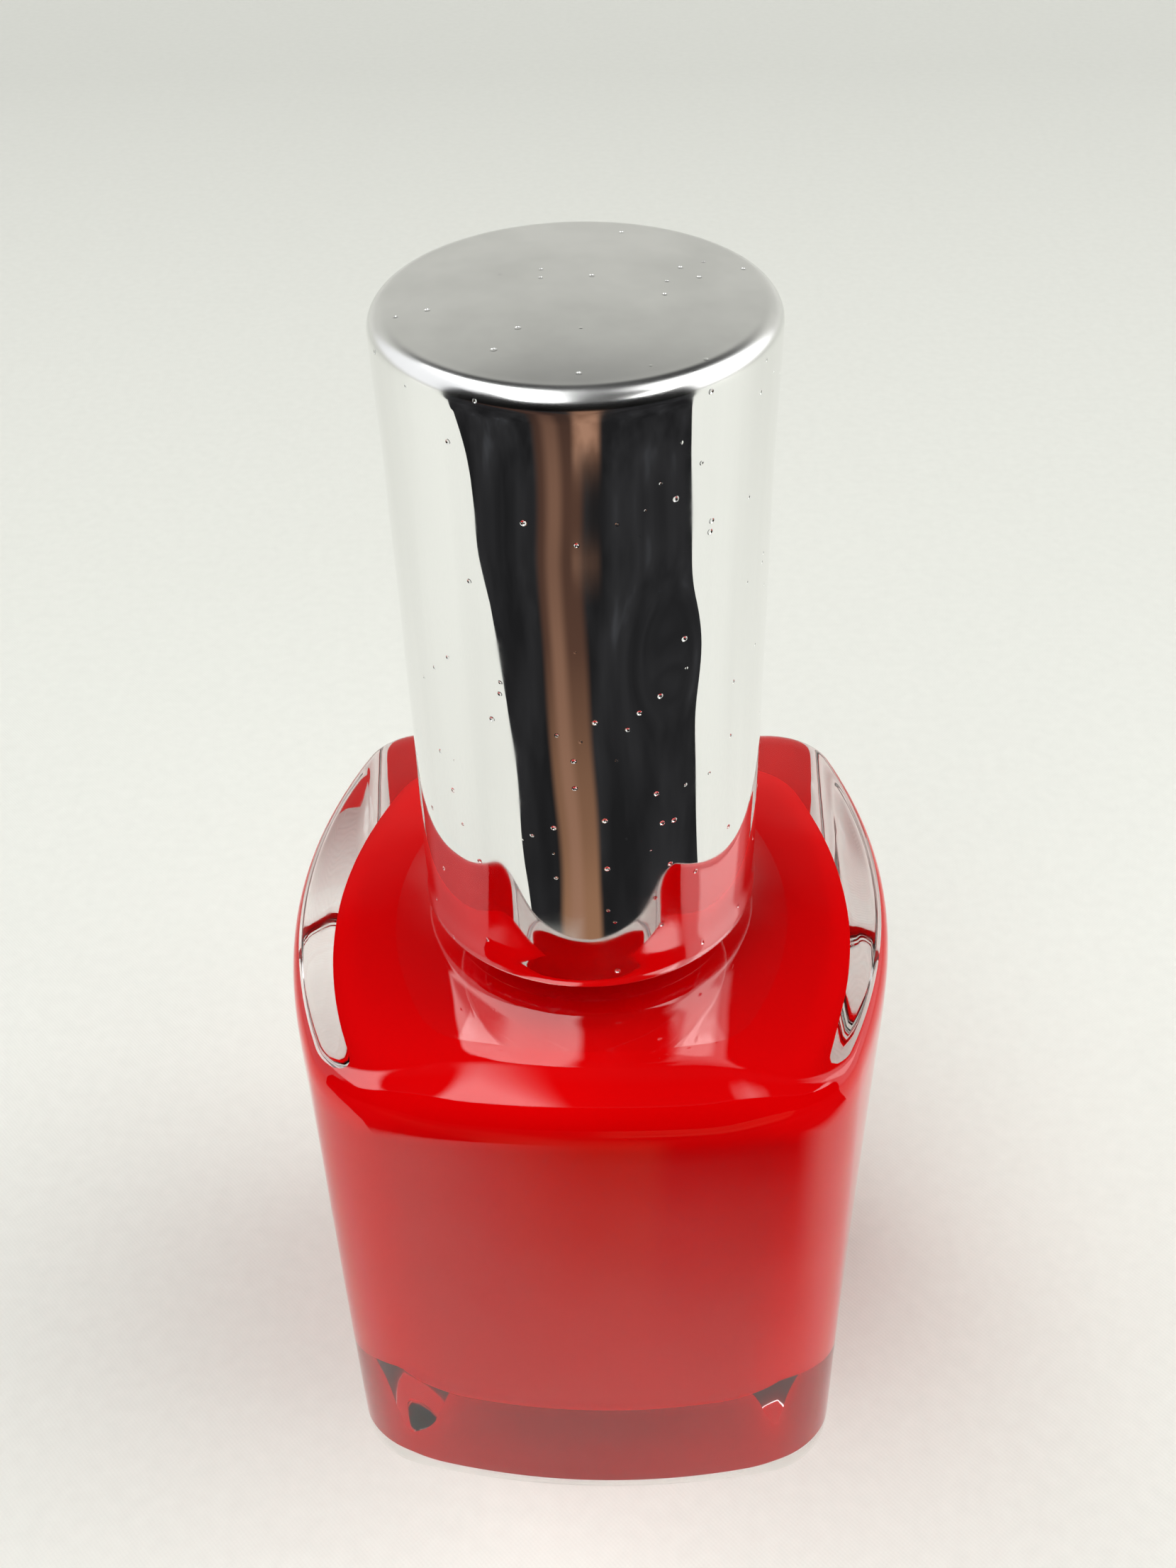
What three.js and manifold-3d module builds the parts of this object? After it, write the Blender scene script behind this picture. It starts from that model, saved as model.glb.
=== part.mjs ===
// A 15 ml nail polish bottle, in millimetres, +Z up.
// The origin is the middle of the foot that the bottle stands on, and the front face looks along -Y.
// The bottle is a thick square glass jar with bulged faces and a screw neck. Its tall mirror cap
// hides a ribbed screw closure, which carries the brush: a stem, a tuft of bristles and the plate
// that anchors them.

import * as THREE from 'three';
import { mergeVertices } from 'three/addons/utils/BufferGeometryUtils.js';
import Module from 'manifold-3d';

const wasm = await Module();
wasm.setup();

// ---- Driving dimensions ----

const SEAT_GAP = 0.3;              // clearance kept between pieces that rest on each other

// Glass body: half its width and depth at the foot and at the shoulder, and how far each face bulges.
const BODY_HEIGHT = 35.1;
const FOOT = { width: 15.2, depth: 15.8, sideBulge: 1.6, frontBulge: 2.4 };
const SHOULDER = { width: 16.4, depth: 15.7, sideBulge: 4.0, frontBulge: 1.7 };
const CORNER_RADIUS = 4.5;
const HEEL_RADIUS = 1.1;
const SHOULDER_RADIUS = 2.2;
const SHOULDER_RISE = 1.2;         // the shoulder climbs this much from its edge to the neck,
const SHOULDER_MIDDLE = 0.6;       // and has done this share of it halfway
const PUSH_UP = 1.0;               // depth of the hollow under the foot
const FOOT_LAND = 2.6;             // width of the flat land that the bottle stands on

// Cavity inside the glass. Its wall thins and its corners sharpen from the foot to the shoulder.
const CAVITY_FOOT = { wall: 4.1, corner: 6.5 };
const CAVITY_SHOULDER = { wall: 1.85, corner: 3.5 };
const FLOOR_THICKNESS = 5.6;
const SHOULDER_THICKNESS = 2.6;
const CAVITY_BOTTOM_RADIUS = 2.6;
const CAVITY_TOP_RADIUS = 1.6;
const THROAT_DEPTH = 1.6;          // the neck's bore starts this far below the shoulder's top
const THROAT = { across: 0.7, rise: 0.5 };   // where the cavity's ceiling turns up into the bore

// Neck, a 13 mm continuous-thread finish.
const NECK_HEIGHT = 10.9;
const NECK_RADIUS = 5.75;
const NECK_BORE = 3.6;
const NECK_FILLET = 0.7;
const LIP_RADIUS = 0.5;
const THREAD_PITCH = 2.12;
const THREAD_TURNS = 1.5;
const THREAD_CREST = 6.45;
const THREAD_START = 4.8;          // height of the ridge's lower end above the shoulder
const RIDGE_ROOT = 0.25;           // how far each ridge is rooted in its wall
const RIDGE_ROOT_WIDTH = 1.44;
const RIDGE_CREST_WIDTH = 0.55;
const RIDGE_STEPS_PER_TURN = 32;
const RIDGE_TAPER_TURNS = 0.25;
const RIDGE_END_SHARE = 0.5;        // a ridge's root narrows to this share at its two ends
const THREAD_CLEARANCE = 0.06;     // between the crests of the two threads

// Mirror cap.
const CAP_RADIUS = 9.0;
const CAP_LENGTH = 33.5;
const CAP_LIP_HEIGHT = 37.2;
const CAP_WALL = 1.0;
const CAP_TOP_THICKNESS = 1.4;
const CAP_RIM_RADIUS = 0.9;
const CAP_DOME = 0.35;
const CAP_LIP_ROUND = 0.25;

// Screw closure inside the cap.
const CLOSURE_RECESS = 0.7;        // its skirt stops this far above the cap's lip
const CLOSURE_BORE = 7.05;
const CLOSURE_THREAD_START = 1.6;
const CLOSURE_DECK = 1.4;
const CLOSURE_RIBS = 28;
const CLOSURE_RIB_DEPTH = 0.28;
const COLLAR_RADIUS = 4.4;
const COLLAR_HEIGHT = 4.2;
const OVERLAP = 0.5;               // how far joined or cut shapes run into each other

// Sealing washer and brush.
const WASHER = { inner: 2.5, outer: 6.0, thickness: 0.8 };
const FLANGE = { radius: 5.4, thickness: 1.0 };
const PLUG = { radius: 2.7, below: 0.6, chamfer: 0.5 };   // it ends below the collar's top
const STEM_TOP_RADIUS = 2.0;
const STEM_TIP_RADIUS = 1.75;
const STEM_TIP_CHAMFER = { across: 0.15, rise: 0.2 };
const STEM_TAPER_DEPTH = 4.0;      // the stem is straight this far below the neck's lip
const STEM_TIP_HEIGHT = 21.0;      // height of the stem's lower end above the foot
const SOCKET = { radius: 1.25, depth: 4.2 };
const ANCHOR = { length: 3.2, thickness: 0.3, height: 1.3, aboveTip: 1.8 };
const TUFT = { root: 0.95, belly: 1.7, tipHeight: 7.3 };
// The tuft below the stem: the belly's radius is multiplied by across, at this share of its length.
const TUFT_SHAPE = [[0.45, 0.01], [0.8, 0.066], [0.96, 0.16], [1, 0.3], [0.92, 0.6], [0.64, 0.927]];
const TUFT_ROOT_CHAMFER = 0.3;

// Lacquer, mixing balls and underside label.
const LACQUER_LEVEL = 32.9;
const BRUSH_POCKET = { radius: 2.4, below: 0.5 };   // the room that the brush has in the lacquer
const BALL_RADIUS = 2.0;
const BALL_PLACES = [[6.6, -5.2], [-5.6, 6.3]];
const LABEL = { radius: 8.0, thickness: 0.12 };

// Facets.
const CAP_SEGMENTS = 64;
const ROUND_SEGMENTS = 48;         // pieces inside the cap
const BRUSH_SEGMENTS = 32;
const SIDE_STEPS = 4;              // facets along half of one face
const CORNER_STEPS = 5;            // facets round one corner
const ARC_STEPS = 4;               // facets round a small fillet
const BALL_DETAIL = 2;

const shoulderTop = BODY_HEIGHT + SHOULDER_RISE;
const lipHeight = shoulderTop + NECK_HEIGHT;
const cavityTop = BODY_HEIGHT - SHOULDER_THICKNESS;

// ---- Helpers ----

const mix = (a, b, t) => a + (b - a) * t;

// A closed geometry as a solid that can be joined and cut.
function toSolid(geometry) {
  const bare = geometry.clone();
  bare.deleteAttribute('normal');
  bare.deleteAttribute('uv');
  const merged = mergeVertices(bare, 1e-4);
  const index = merged.index.array;
  const triangles = [];
  for (let i = 0; i < index.length; i += 3) {
    const [a, b, c] = [index[i], index[i + 1], index[i + 2]];
    if (a !== b && b !== c && c !== a) triangles.push(a, b, c);
  }
  const mesh = new wasm.Mesh({
    numProp: 3,
    vertProperties: new Float32Array(merged.attributes.position.array),
    triVerts: new Uint32Array(triangles),
  });
  return new wasm.Manifold(mesh);
}

function toGeometry(solid) {
  const mesh = solid.getMesh();
  const geometry = new THREE.BufferGeometry();
  geometry.setAttribute('position', new THREE.BufferAttribute(new Float32Array(mesh.vertProperties), 3));
  geometry.setIndex(new THREE.BufferAttribute(new Uint32Array(mesh.triVerts), 1));
  geometry.computeVertexNormals();
  return geometry;
}

// A profile of [radius, height] pairs, climbing outside and coming down inside, turned about Z.
function turned(profile, segments = ROUND_SEGMENTS) {
  const points = profile.map(([radius, height]) => new THREE.Vector2(radius, height));
  const geometry = new THREE.LatheGeometry(points, segments);
  return geometry.rotateX(Math.PI / 2);
}

// Points of an arc in a profile, from one angle to another in degrees.
function arc(centreRadius, centreHeight, radius, from, to, steps = ARC_STEPS) {
  const points = [];
  for (let i = 0; i <= steps; i += 1) {
    const angle = THREE.MathUtils.degToRad(mix(from, to, i / steps));
    points.push([centreRadius + radius * Math.cos(angle), centreHeight + radius * Math.sin(angle)]);
  }
  return points;
}

// The skin over a stack of rings with the same number of points, closed by a point at each end.
function skin(rings, first, last) {
  const count = rings[0].length;
  const vertices = [first, ...rings.flat(), last];
  const triangles = [];
  const at = (ring, i) => 1 + ring * count + (i % count);
  for (let i = 0; i < count; i += 1) triangles.push(0, at(0, i + 1), at(0, i));
  for (let ring = 0; ring + 1 < rings.length; ring += 1) {
    for (let i = 0; i < count; i += 1) {
      triangles.push(at(ring, i), at(ring, i + 1), at(ring + 1, i + 1));
      triangles.push(at(ring, i), at(ring + 1, i + 1), at(ring + 1, i));
    }
  }
  const end = vertices.length - 1;
  const top = rings.length - 1;
  for (let i = 0; i < count; i += 1) triangles.push(end, at(top, i), at(top, i + 1));
  const geometry = new THREE.BufferGeometry();
  geometry.setAttribute('position', new THREE.Float32BufferAttribute(vertices.flat(), 3));
  geometry.setIndex(triangles);
  return geometry;
}

// ---- Outline of the square body ----

// One quarter of a bulged square with round corners, from the middle of the +X face to the middle of +Y.
// Both faces are shallow parabolas, and the corner is an arc that meets each of them smoothly.
function quarter(size, cornerRadius) {
  const { width, depth, sideBulge, frontBulge } = size;
  const sideX = (y) => width - sideBulge * (y / depth) ** 2;
  const frontY = (x) => depth - frontBulge * (x / width) ** 2;
  const sideAngle = (y) => Math.atan((2 * sideBulge * y) / depth ** 2);
  const frontAngle = (x) => Math.PI / 2 - Math.atan((2 * frontBulge * x) / width ** 2);
  let sideEnd = depth - cornerRadius;
  let frontEnd = width - cornerRadius;
  let centreX = 0;
  let centreY = 0;
  for (let pass = 0; pass < 30; pass += 1) {
    centreX = sideX(sideEnd) - cornerRadius * Math.cos(sideAngle(sideEnd));
    centreY = frontY(frontEnd) - cornerRadius * Math.sin(frontAngle(frontEnd));
    sideEnd = centreY + cornerRadius * Math.sin(sideAngle(sideEnd));
    frontEnd = centreX + cornerRadius * Math.cos(frontAngle(frontEnd));
  }
  const points = [];
  for (let i = 0; i < SIDE_STEPS; i += 1) {
    const y = sideEnd * (i / SIDE_STEPS);
    points.push([sideX(y), y]);
  }
  for (let i = 0; i <= CORNER_STEPS; i += 1) {
    const angle = mix(sideAngle(sideEnd), frontAngle(frontEnd), i / CORNER_STEPS);
    points.push([centreX + cornerRadius * Math.cos(angle), centreY + cornerRadius * Math.sin(angle)]);
  }
  for (let i = 1; i < SIDE_STEPS; i += 1) {
    const x = frontEnd * (1 - i / SIDE_STEPS);
    points.push([x, frontY(x)]);
  }
  return points;
}

// The whole outline, at a height on the body and drawn in from its faces by an inset.
function outline(height, inset, cornerRadius = CORNER_RADIUS) {
  const t = height / BODY_HEIGHT;
  const size = {
    width: mix(FOOT.width, SHOULDER.width, t) - inset,
    depth: mix(FOOT.depth, SHOULDER.depth, t) - inset,
    sideBulge: mix(FOOT.sideBulge, SHOULDER.sideBulge, t),
    frontBulge: mix(FOOT.frontBulge, SHOULDER.frontBulge, t),
  };
  const first = quarter(size, cornerRadius);
  const points = [...first];
  const middle = [0, size.depth];
  const mirrored = [middle, ...first.slice(1).reverse()].map(([x, y]) => [-x, y]);
  points.push(...mirrored);
  return [...points, ...points.map(([x, y]) => [-x, -y])];
}

const ringAt = (points, height) => points.map(([x, y]) => [x, y, height]);

// A round ring whose points lie in the same directions as the outline's points.
function roundRing(points, radius, height) {
  return points.map(([x, y]) => {
    const length = Math.hypot(x, y);
    return [(x / length) * radius, (y / length) * radius, height];
  });
}

// A ring part of the way from one ring to another, at its own height.
function between(outer, inner, t, height) {
  return outer.map(([x, y], i) => [mix(x, inner[i][0], t), mix(y, inner[i][1], t), height]);
}

// ---- Glass bottle ----

// The outside, from the foot's land to the lip of the neck.
function outsideRings() {
  const rings = [];
  rings.push(ringAt(outline(0, HEEL_RADIUS + FOOT_LAND + PUSH_UP), PUSH_UP));
  rings.push(ringAt(outline(0, HEEL_RADIUS + FOOT_LAND), 0));
  for (let i = 0; i <= ARC_STEPS; i += 1) {
    const angle = (Math.PI / 2) * (i / ARC_STEPS);
    const height = HEEL_RADIUS * (1 - Math.cos(angle));
    rings.push(ringAt(outline(height, HEEL_RADIUS * (1 - Math.sin(angle))), height));
  }
  for (const t of [0.25, 0.5, 0.75]) {
    const height = mix(HEEL_RADIUS, BODY_HEIGHT - SHOULDER_RADIUS, t);
    rings.push(ringAt(outline(height, 0), height));
  }
  for (let i = 0; i <= ARC_STEPS; i += 1) {
    const angle = (Math.PI / 2) * (i / ARC_STEPS);
    const height = BODY_HEIGHT - SHOULDER_RADIUS * (1 - Math.sin(angle));
    rings.push(ringAt(outline(height, SHOULDER_RADIUS * (1 - Math.cos(angle))), height));
  }
  const edge = outline(BODY_HEIGHT, SHOULDER_RADIUS);
  const neckFoot = roundRing(edge, NECK_RADIUS + NECK_FILLET, shoulderTop);
  rings.push(between(edge, neckFoot, 0.5, BODY_HEIGHT + SHOULDER_RISE * SHOULDER_MIDDLE));
  const fillet = arc(NECK_RADIUS + NECK_FILLET, shoulderTop + NECK_FILLET, NECK_FILLET, 270, 180);
  const lip = arc(NECK_RADIUS - LIP_RADIUS, lipHeight - LIP_RADIUS, LIP_RADIUS, 0, 90);
  for (const [radius, height] of [...fillet, ...lip]) rings.push(roundRing(edge, radius, height));
  return rings;
}

// The cavity, from its floor up to where it meets the neck's bore; gap draws it in all round.
function cavityRings(gap) {
  const rings = [];
  const floor = FLOOR_THICKNESS + gap;
  const top = cavityTop - gap;
  const cavityOutline = (height, inset) => {
    const t = height / BODY_HEIGHT;
    const wall = mix(CAVITY_FOOT.wall, CAVITY_SHOULDER.wall, t);
    return outline(height, wall + gap + inset, mix(CAVITY_FOOT.corner, CAVITY_SHOULDER.corner, t));
  };
  for (let i = 0; i <= ARC_STEPS; i += 1) {
    const angle = (Math.PI / 2) * (i / ARC_STEPS);
    const height = floor + CAVITY_BOTTOM_RADIUS * (1 - Math.cos(angle));
    rings.push(ringAt(cavityOutline(height, CAVITY_BOTTOM_RADIUS * (1 - Math.sin(angle))), height));
  }
  for (let i = 0; i <= ARC_STEPS; i += 1) {
    const angle = (Math.PI / 2) * (i / ARC_STEPS);
    const height = top - CAVITY_TOP_RADIUS * (1 - Math.sin(angle));
    rings.push(ringAt(cavityOutline(height, CAVITY_TOP_RADIUS * (1 - Math.cos(angle))), height));
  }
  return rings;
}

// A thread's ridge, wound up a helix with both ends tapering away. base and crest are radii, and the
// crest may be inside or outside the base.
function threadRidge(base, crest, bottom, turns, startAngle) {
  const steps = Math.round(turns * RIDGE_STEPS_PER_TURN);
  const taperSteps = RIDGE_STEPS_PER_TURN * RIDGE_TAPER_TURNS;
  const halfRoot = RIDGE_ROOT_WIDTH / 2;
  const halfCrest = RIDGE_CREST_WIDTH / 2;
  const rings = [];
  for (let i = 0; i <= steps; i += 1) {
    const strength = Math.min(1, (i + 1) / taperSteps, (steps - i + 1) / taperSteps);
    const turn = i / RIDGE_STEPS_PER_TURN;
    const angle = startAngle + turn * Math.PI * 2;
    const height = bottom + turn * THREAD_PITCH;
    const tip = mix(base, crest, strength);
    const section = [[base, -halfRoot], [tip, -halfCrest], [tip, halfCrest], [base, halfRoot]];
    if (crest < base) section.reverse();
    rings.push(section.map(([radius, rise]) => [
      radius * Math.cos(angle), radius * Math.sin(angle), height + rise * mix(RIDGE_END_SHARE, 1, strength),
    ]));
  }
  const middle = (ring) => [0, 1, 2].map((axis) => (ring[0][axis] + ring[3][axis]) / 2);
  return skin(rings.reverse(), middle(rings[0]), middle(rings[rings.length - 1]));
}

function glassBottle() {
  const edge = outline(BODY_HEIGHT, SHOULDER_RADIUS);
  const inside = cavityRings(0).reverse();
  const mouth = [
    roundRing(edge, NECK_BORE + LIP_RADIUS, lipHeight),
    roundRing(edge, NECK_BORE, lipHeight - LIP_RADIUS),
    roundRing(edge, NECK_BORE, shoulderTop - THROAT_DEPTH),
    between(inside[0], roundRing(edge, NECK_BORE, 0), THROAT.across, cavityTop + THROAT.rise),
  ];
  const rings = [...outsideRings(), ...mouth, ...inside];
  const jar = toSolid(skin(rings, [0, 0, PUSH_UP], [0, 0, FLOOR_THICKNESS]));
  const threadBottom = shoulderTop + THREAD_START;
  const ridge = threadRidge(NECK_RADIUS - RIDGE_ROOT, THREAD_CREST, threadBottom, THREAD_TURNS, 0);
  return toGeometry(jar.add(toSolid(ridge)));
}

// ---- What the bottle holds ----

function nailLacquer() {
  const rings = cavityRings(SEAT_GAP);
  const rim = rings[rings.length - 1];
  const surface = roundRing(rim, NECK_BORE, 0);
  rings.push(between(rim, surface, THROAT.across, LACQUER_LEVEL - SEAT_GAP));
  const floor = FLOOR_THICKNESS + SEAT_GAP;
  let pool = toSolid(skin(rings, [0, 0, floor], [0, 0, LACQUER_LEVEL - SEAT_GAP]));
  const pocketBottom = TUFT.tipHeight - BRUSH_POCKET.below;
  const pocket = turned([
    [0, pocketBottom], [BRUSH_POCKET.radius, pocketBottom],
    [BRUSH_POCKET.radius, shoulderTop], [0, shoulderTop],
  ]);
  pool = pool.subtract(toSolid(pocket));
  for (const [x, y] of BALL_PLACES) {
    const hollow = new THREE.IcosahedronGeometry(BALL_RADIUS + SEAT_GAP, BALL_DETAIL);
    hollow.translate(x, y, ballHeight());
    pool = pool.subtract(toSolid(hollow));
  }
  return toGeometry(pool);
}

function ballHeight() {
  return FLOOR_THICKNESS + SEAT_GAP + BALL_RADIUS;
}

function mixingBall() {
  return new THREE.IcosahedronGeometry(BALL_RADIUS, BALL_DETAIL);
}

function baseLabel() {
  const top = PUSH_UP - SEAT_GAP;
  const bottom = top - LABEL.thickness;
  return turned([[0, bottom], [LABEL.radius, bottom], [LABEL.radius, top], [0, top]]);
}

// ---- Cap: heights here are above the cap's lip ----

function overcap() {
  const inner = CAP_RADIUS - CAP_WALL;
  const shoulder = CAP_LENGTH - CAP_DOME - CAP_RIM_RADIUS;
  const dome = [];
  for (let i = 1; i <= 4; i += 1) {
    const radius = (CAP_RADIUS - CAP_RIM_RADIUS) * (1 - i / 4);
    dome.push([radius, CAP_LENGTH - CAP_DOME * (radius / (CAP_RADIUS - CAP_RIM_RADIUS)) ** 2]);
  }
  return turned([
    [0, CAP_LENGTH - CAP_TOP_THICKNESS],
    [inner, CAP_LENGTH - CAP_TOP_THICKNESS],
    [inner, CAP_LIP_ROUND],
    ...arc(inner + CAP_LIP_ROUND, CAP_LIP_ROUND, CAP_LIP_ROUND, 180, 270, 2),
    ...arc(CAP_RADIUS - CAP_LIP_ROUND, CAP_LIP_ROUND, CAP_LIP_ROUND, 270, 360, 2),
    ...arc(CAP_RADIUS - CAP_RIM_RADIUS, shoulder, CAP_RIM_RADIUS, 0, 90),
    ...dome,
  ], CAP_SEGMENTS);
}

const neckLip = lipHeight - CAP_LIP_HEIGHT;
const washerBottom = neckLip + SEAT_GAP;
const flangeBottom = washerBottom + WASHER.thickness + SEAT_GAP;
const deckBottom = flangeBottom + FLANGE.thickness + SEAT_GAP;
const deckTop = deckBottom + CLOSURE_DECK;
const collarTop = deckTop + COLLAR_HEIGHT;

function innerCap() {
  const crest = CAP_RADIUS - CAP_WALL - SEAT_GAP;
  const shape = new THREE.Shape();
  const perRib = 4;
  for (let i = 0; i < CLOSURE_RIBS * perRib; i += 1) {
    const angle = (i / (CLOSURE_RIBS * perRib)) * Math.PI * 2;
    const radius = i % perRib < 2 ? crest : crest - CLOSURE_RIB_DEPTH;
    const point = [radius * Math.cos(angle), radius * Math.sin(angle)];
    if (i === 0) shape.moveTo(...point);
    else shape.lineTo(...point);
  }
  const length = deckTop - CLOSURE_RECESS;
  const body = new THREE.ExtrudeGeometry(shape, { depth: length, bevelEnabled: false });
  body.translate(0, 0, CLOSURE_RECESS);
  const collar = turned([
    [0, deckTop - OVERLAP], [COLLAR_RADIUS, deckTop - OVERLAP],
    [COLLAR_RADIUS, collarTop], [0, collarTop],
  ]);
  const plugHole = PLUG.radius + SEAT_GAP;
  const bore = turned([
    [0, CLOSURE_RECESS - OVERLAP], [CLOSURE_BORE, CLOSURE_RECESS - OVERLAP], [CLOSURE_BORE, deckBottom],
    [plugHole, deckBottom], [plugHole, collarTop + OVERLAP], [0, collarTop + OVERLAP],
  ]);
  const crestRadius = THREAD_CREST + THREAD_CLEARANCE;
  const threadBottom = CLOSURE_RECESS + CLOSURE_THREAD_START;
  const ridge = threadRidge(CLOSURE_BORE + RIDGE_ROOT, crestRadius, threadBottom, THREAD_TURNS, Math.PI);
  return toGeometry(toSolid(body).add(toSolid(collar)).subtract(toSolid(bore)).add(toSolid(ridge)));
}

function sealWasher() {
  const top = washerBottom + WASHER.thickness;
  return turned([
    [WASHER.inner, washerBottom], [WASHER.outer, washerBottom], [WASHER.outer, top],
    [WASHER.inner, top], [WASHER.inner, washerBottom],
  ]);
}

const stemTip = STEM_TIP_HEIGHT - CAP_LIP_HEIGHT;
const anchorMiddle = stemTip + ANCHOR.aboveTip + ANCHOR.height / 2;

// The slot that the anchor plate sits in, with clearance round the plate.
function anchorSlot() {
  const slot = new THREE.BoxGeometry(
    2 * STEM_TOP_RADIUS + OVERLAP,
    ANCHOR.thickness + 2 * SEAT_GAP,
    ANCHOR.height + 2 * SEAT_GAP,
  );
  return toSolid(slot.translate(0, 0, anchorMiddle));
}

function brushStem() {
  const plugTop = collarTop - PLUG.below;
  const socketTop = stemTip + SOCKET.depth;
  const stem = turned([
    [0, socketTop], [SOCKET.radius, socketTop], [SOCKET.radius, stemTip],
    [STEM_TIP_RADIUS - STEM_TIP_CHAMFER.across, stemTip],
    [STEM_TIP_RADIUS, stemTip + STEM_TIP_CHAMFER.rise],
    [STEM_TOP_RADIUS, neckLip - STEM_TAPER_DEPTH],
    [STEM_TOP_RADIUS, flangeBottom],
    [FLANGE.radius, flangeBottom],
    [FLANGE.radius, flangeBottom + FLANGE.thickness],
    [PLUG.radius, flangeBottom + FLANGE.thickness],
    [PLUG.radius, plugTop - PLUG.chamfer],
    [PLUG.radius - PLUG.chamfer, plugTop],
    [0, plugTop],
  ], BRUSH_SEGMENTS);
  return toGeometry(toSolid(stem).subtract(anchorSlot()));
}

function bristleAnchor() {
  const plate = new THREE.BoxGeometry(ANCHOR.length, ANCHOR.thickness, ANCHOR.height);
  return plate.translate(0, 0, anchorMiddle);
}

function bristleTuft() {
  const tip = TUFT.tipHeight - CAP_LIP_HEIGHT;
  const root = stemTip + SOCKET.depth - SEAT_GAP;
  const length = stemTip - tip;
  const below = TUFT_SHAPE.map(([across, along]) => [TUFT.belly * across, tip + length * along]);
  const tuft = turned([
    [0, tip],
    ...below,
    [TUFT.root, stemTip - TUFT_ROOT_CHAMFER],
    [TUFT.root, root - TUFT_ROOT_CHAMFER],
    [TUFT.root - TUFT_ROOT_CHAMFER, root],
    [0, root],
  ], BRUSH_SEGMENTS);
  return toGeometry(toSolid(tuft).subtract(anchorSlot()));
}

// ---- Assembly ----

function piece(name, geometry, color, roughness, metalness, opacity = 1) {
  const material = new THREE.MeshStandardMaterial({ color, roughness, metalness });
  material.transparent = opacity < 1;
  material.opacity = opacity;
  const mesh = new THREE.Mesh(geometry, material);
  mesh.name = name;
  return mesh;
}

const bottle = new THREE.Group();
bottle.add(piece('glass_bottle', glassBottle(), 0xe9edec, 0.03, 0, 0.35));
bottle.add(piece('nail_lacquer', nailLacquer(), 0xd00510, 0.15, 0));
BALL_PLACES.forEach(([x, y], i) => {
  const ball = piece(`mixing_ball_${i + 1}`, mixingBall(), 0xc4c6c8, 0.15, 1);
  ball.position.set(x, y, ballHeight());
  bottle.add(ball);
});
bottle.add(piece('base_label', baseLabel(), 0xdcdcd8, 0.6, 0));

const cap = new THREE.Group();
cap.position.z = CAP_LIP_HEIGHT;
cap.add(piece('overcap', overcap(), 0xd9dadb, 0.05, 1));
cap.add(piece('inner_cap', innerCap(), 0x1c1c1e, 0.45, 0));
cap.add(piece('seal_washer', sealWasher(), 0xf1efe9, 0.7, 0));
cap.add(piece('brush_stem', brushStem(), 0xe9e9e6, 0.4, 0));
cap.add(piece('bristle_anchor', bristleAnchor(), 0xc9a45a, 0.3, 1));
cap.add(piece('bristle_tuft', bristleTuft(), 0x2a2320, 0.6, 0));

const nailPolishBottle = new THREE.Group();
nailPolishBottle.add(bottle, cap);

export default nailPolishBottle;
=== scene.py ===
"""A nail polish bottle in red lacquer and thick glass, with a mirror cap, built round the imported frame.

Sizes are in millimetres and become metres where a mesh is made. Most repeat the part's own driving
dimensions, and what the frame gives, such as the heights of lips and tops, is read from it.
"""

import math
import random

import bpy
from mathutils import Matrix, Vector, noise


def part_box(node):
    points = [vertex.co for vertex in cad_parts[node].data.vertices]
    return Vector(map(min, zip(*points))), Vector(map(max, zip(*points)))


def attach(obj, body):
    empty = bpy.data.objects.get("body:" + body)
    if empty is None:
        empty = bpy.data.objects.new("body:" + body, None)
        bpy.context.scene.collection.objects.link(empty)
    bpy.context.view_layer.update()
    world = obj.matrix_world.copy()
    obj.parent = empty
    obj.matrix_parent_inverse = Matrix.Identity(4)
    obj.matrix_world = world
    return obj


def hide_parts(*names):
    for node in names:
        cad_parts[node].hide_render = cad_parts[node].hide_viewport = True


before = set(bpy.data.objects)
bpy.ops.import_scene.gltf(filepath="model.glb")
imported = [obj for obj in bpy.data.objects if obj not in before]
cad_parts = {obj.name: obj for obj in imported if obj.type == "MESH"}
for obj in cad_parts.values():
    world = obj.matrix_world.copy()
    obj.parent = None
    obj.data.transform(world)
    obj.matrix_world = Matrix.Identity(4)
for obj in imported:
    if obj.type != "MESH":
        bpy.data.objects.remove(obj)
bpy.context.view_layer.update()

MM = 0.001

# ---- Sizes, in millimetres ----

BODY_HEIGHT = 35.1
FOOT = dict(width=15.2, depth=15.8, side_bulge=1.6, front_bulge=2.4)
SHOULDER = dict(width=16.4, depth=15.7, side_bulge=4.0, front_bulge=1.7)
CORNER_RADIUS = 4.5
HEEL_RADIUS = 1.1
SHOULDER_RADIUS = 2.2
SHOULDER_RISE = 1.2
PUSH_UP = 1.0
FOOT_LAND = 1.2
# The share of the foot's hollow that is level, and the flat between its land and its heel.
HOLLOW_FLAT = 0.4
FOOT_EDGE = 0.3

CAVITY_FOOT = dict(wall=4.0, corner=4.6)
CAVITY_SHOULDER = dict(wall=1.85, corner=3.5)
FLOOR_THICKNESS = 5.6
SHOULDER_THICKNESS = 2.6
CAVITY_BOTTOM_RADIUS = 2.6
CAVITY_TOP_RADIUS = 1.6
THROAT_DEPTH = 1.6

NECK_RADIUS = 5.75
NECK_BORE = 3.6
NECK_FILLET = 0.7
LIP_RADIUS = 0.5
THREAD_PITCH = 2.12
THREAD_TURNS = 1.5
THREAD_CREST = 6.45
THREAD_START = 4.8
# A thread's run-out, in turns, and its ridge's half width and flank, as shares of the pitch.
THREAD_RUN_OUT = 0.22
RIDGE_HALF = 0.36
RIDGE_FLANK = 0.24

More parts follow.
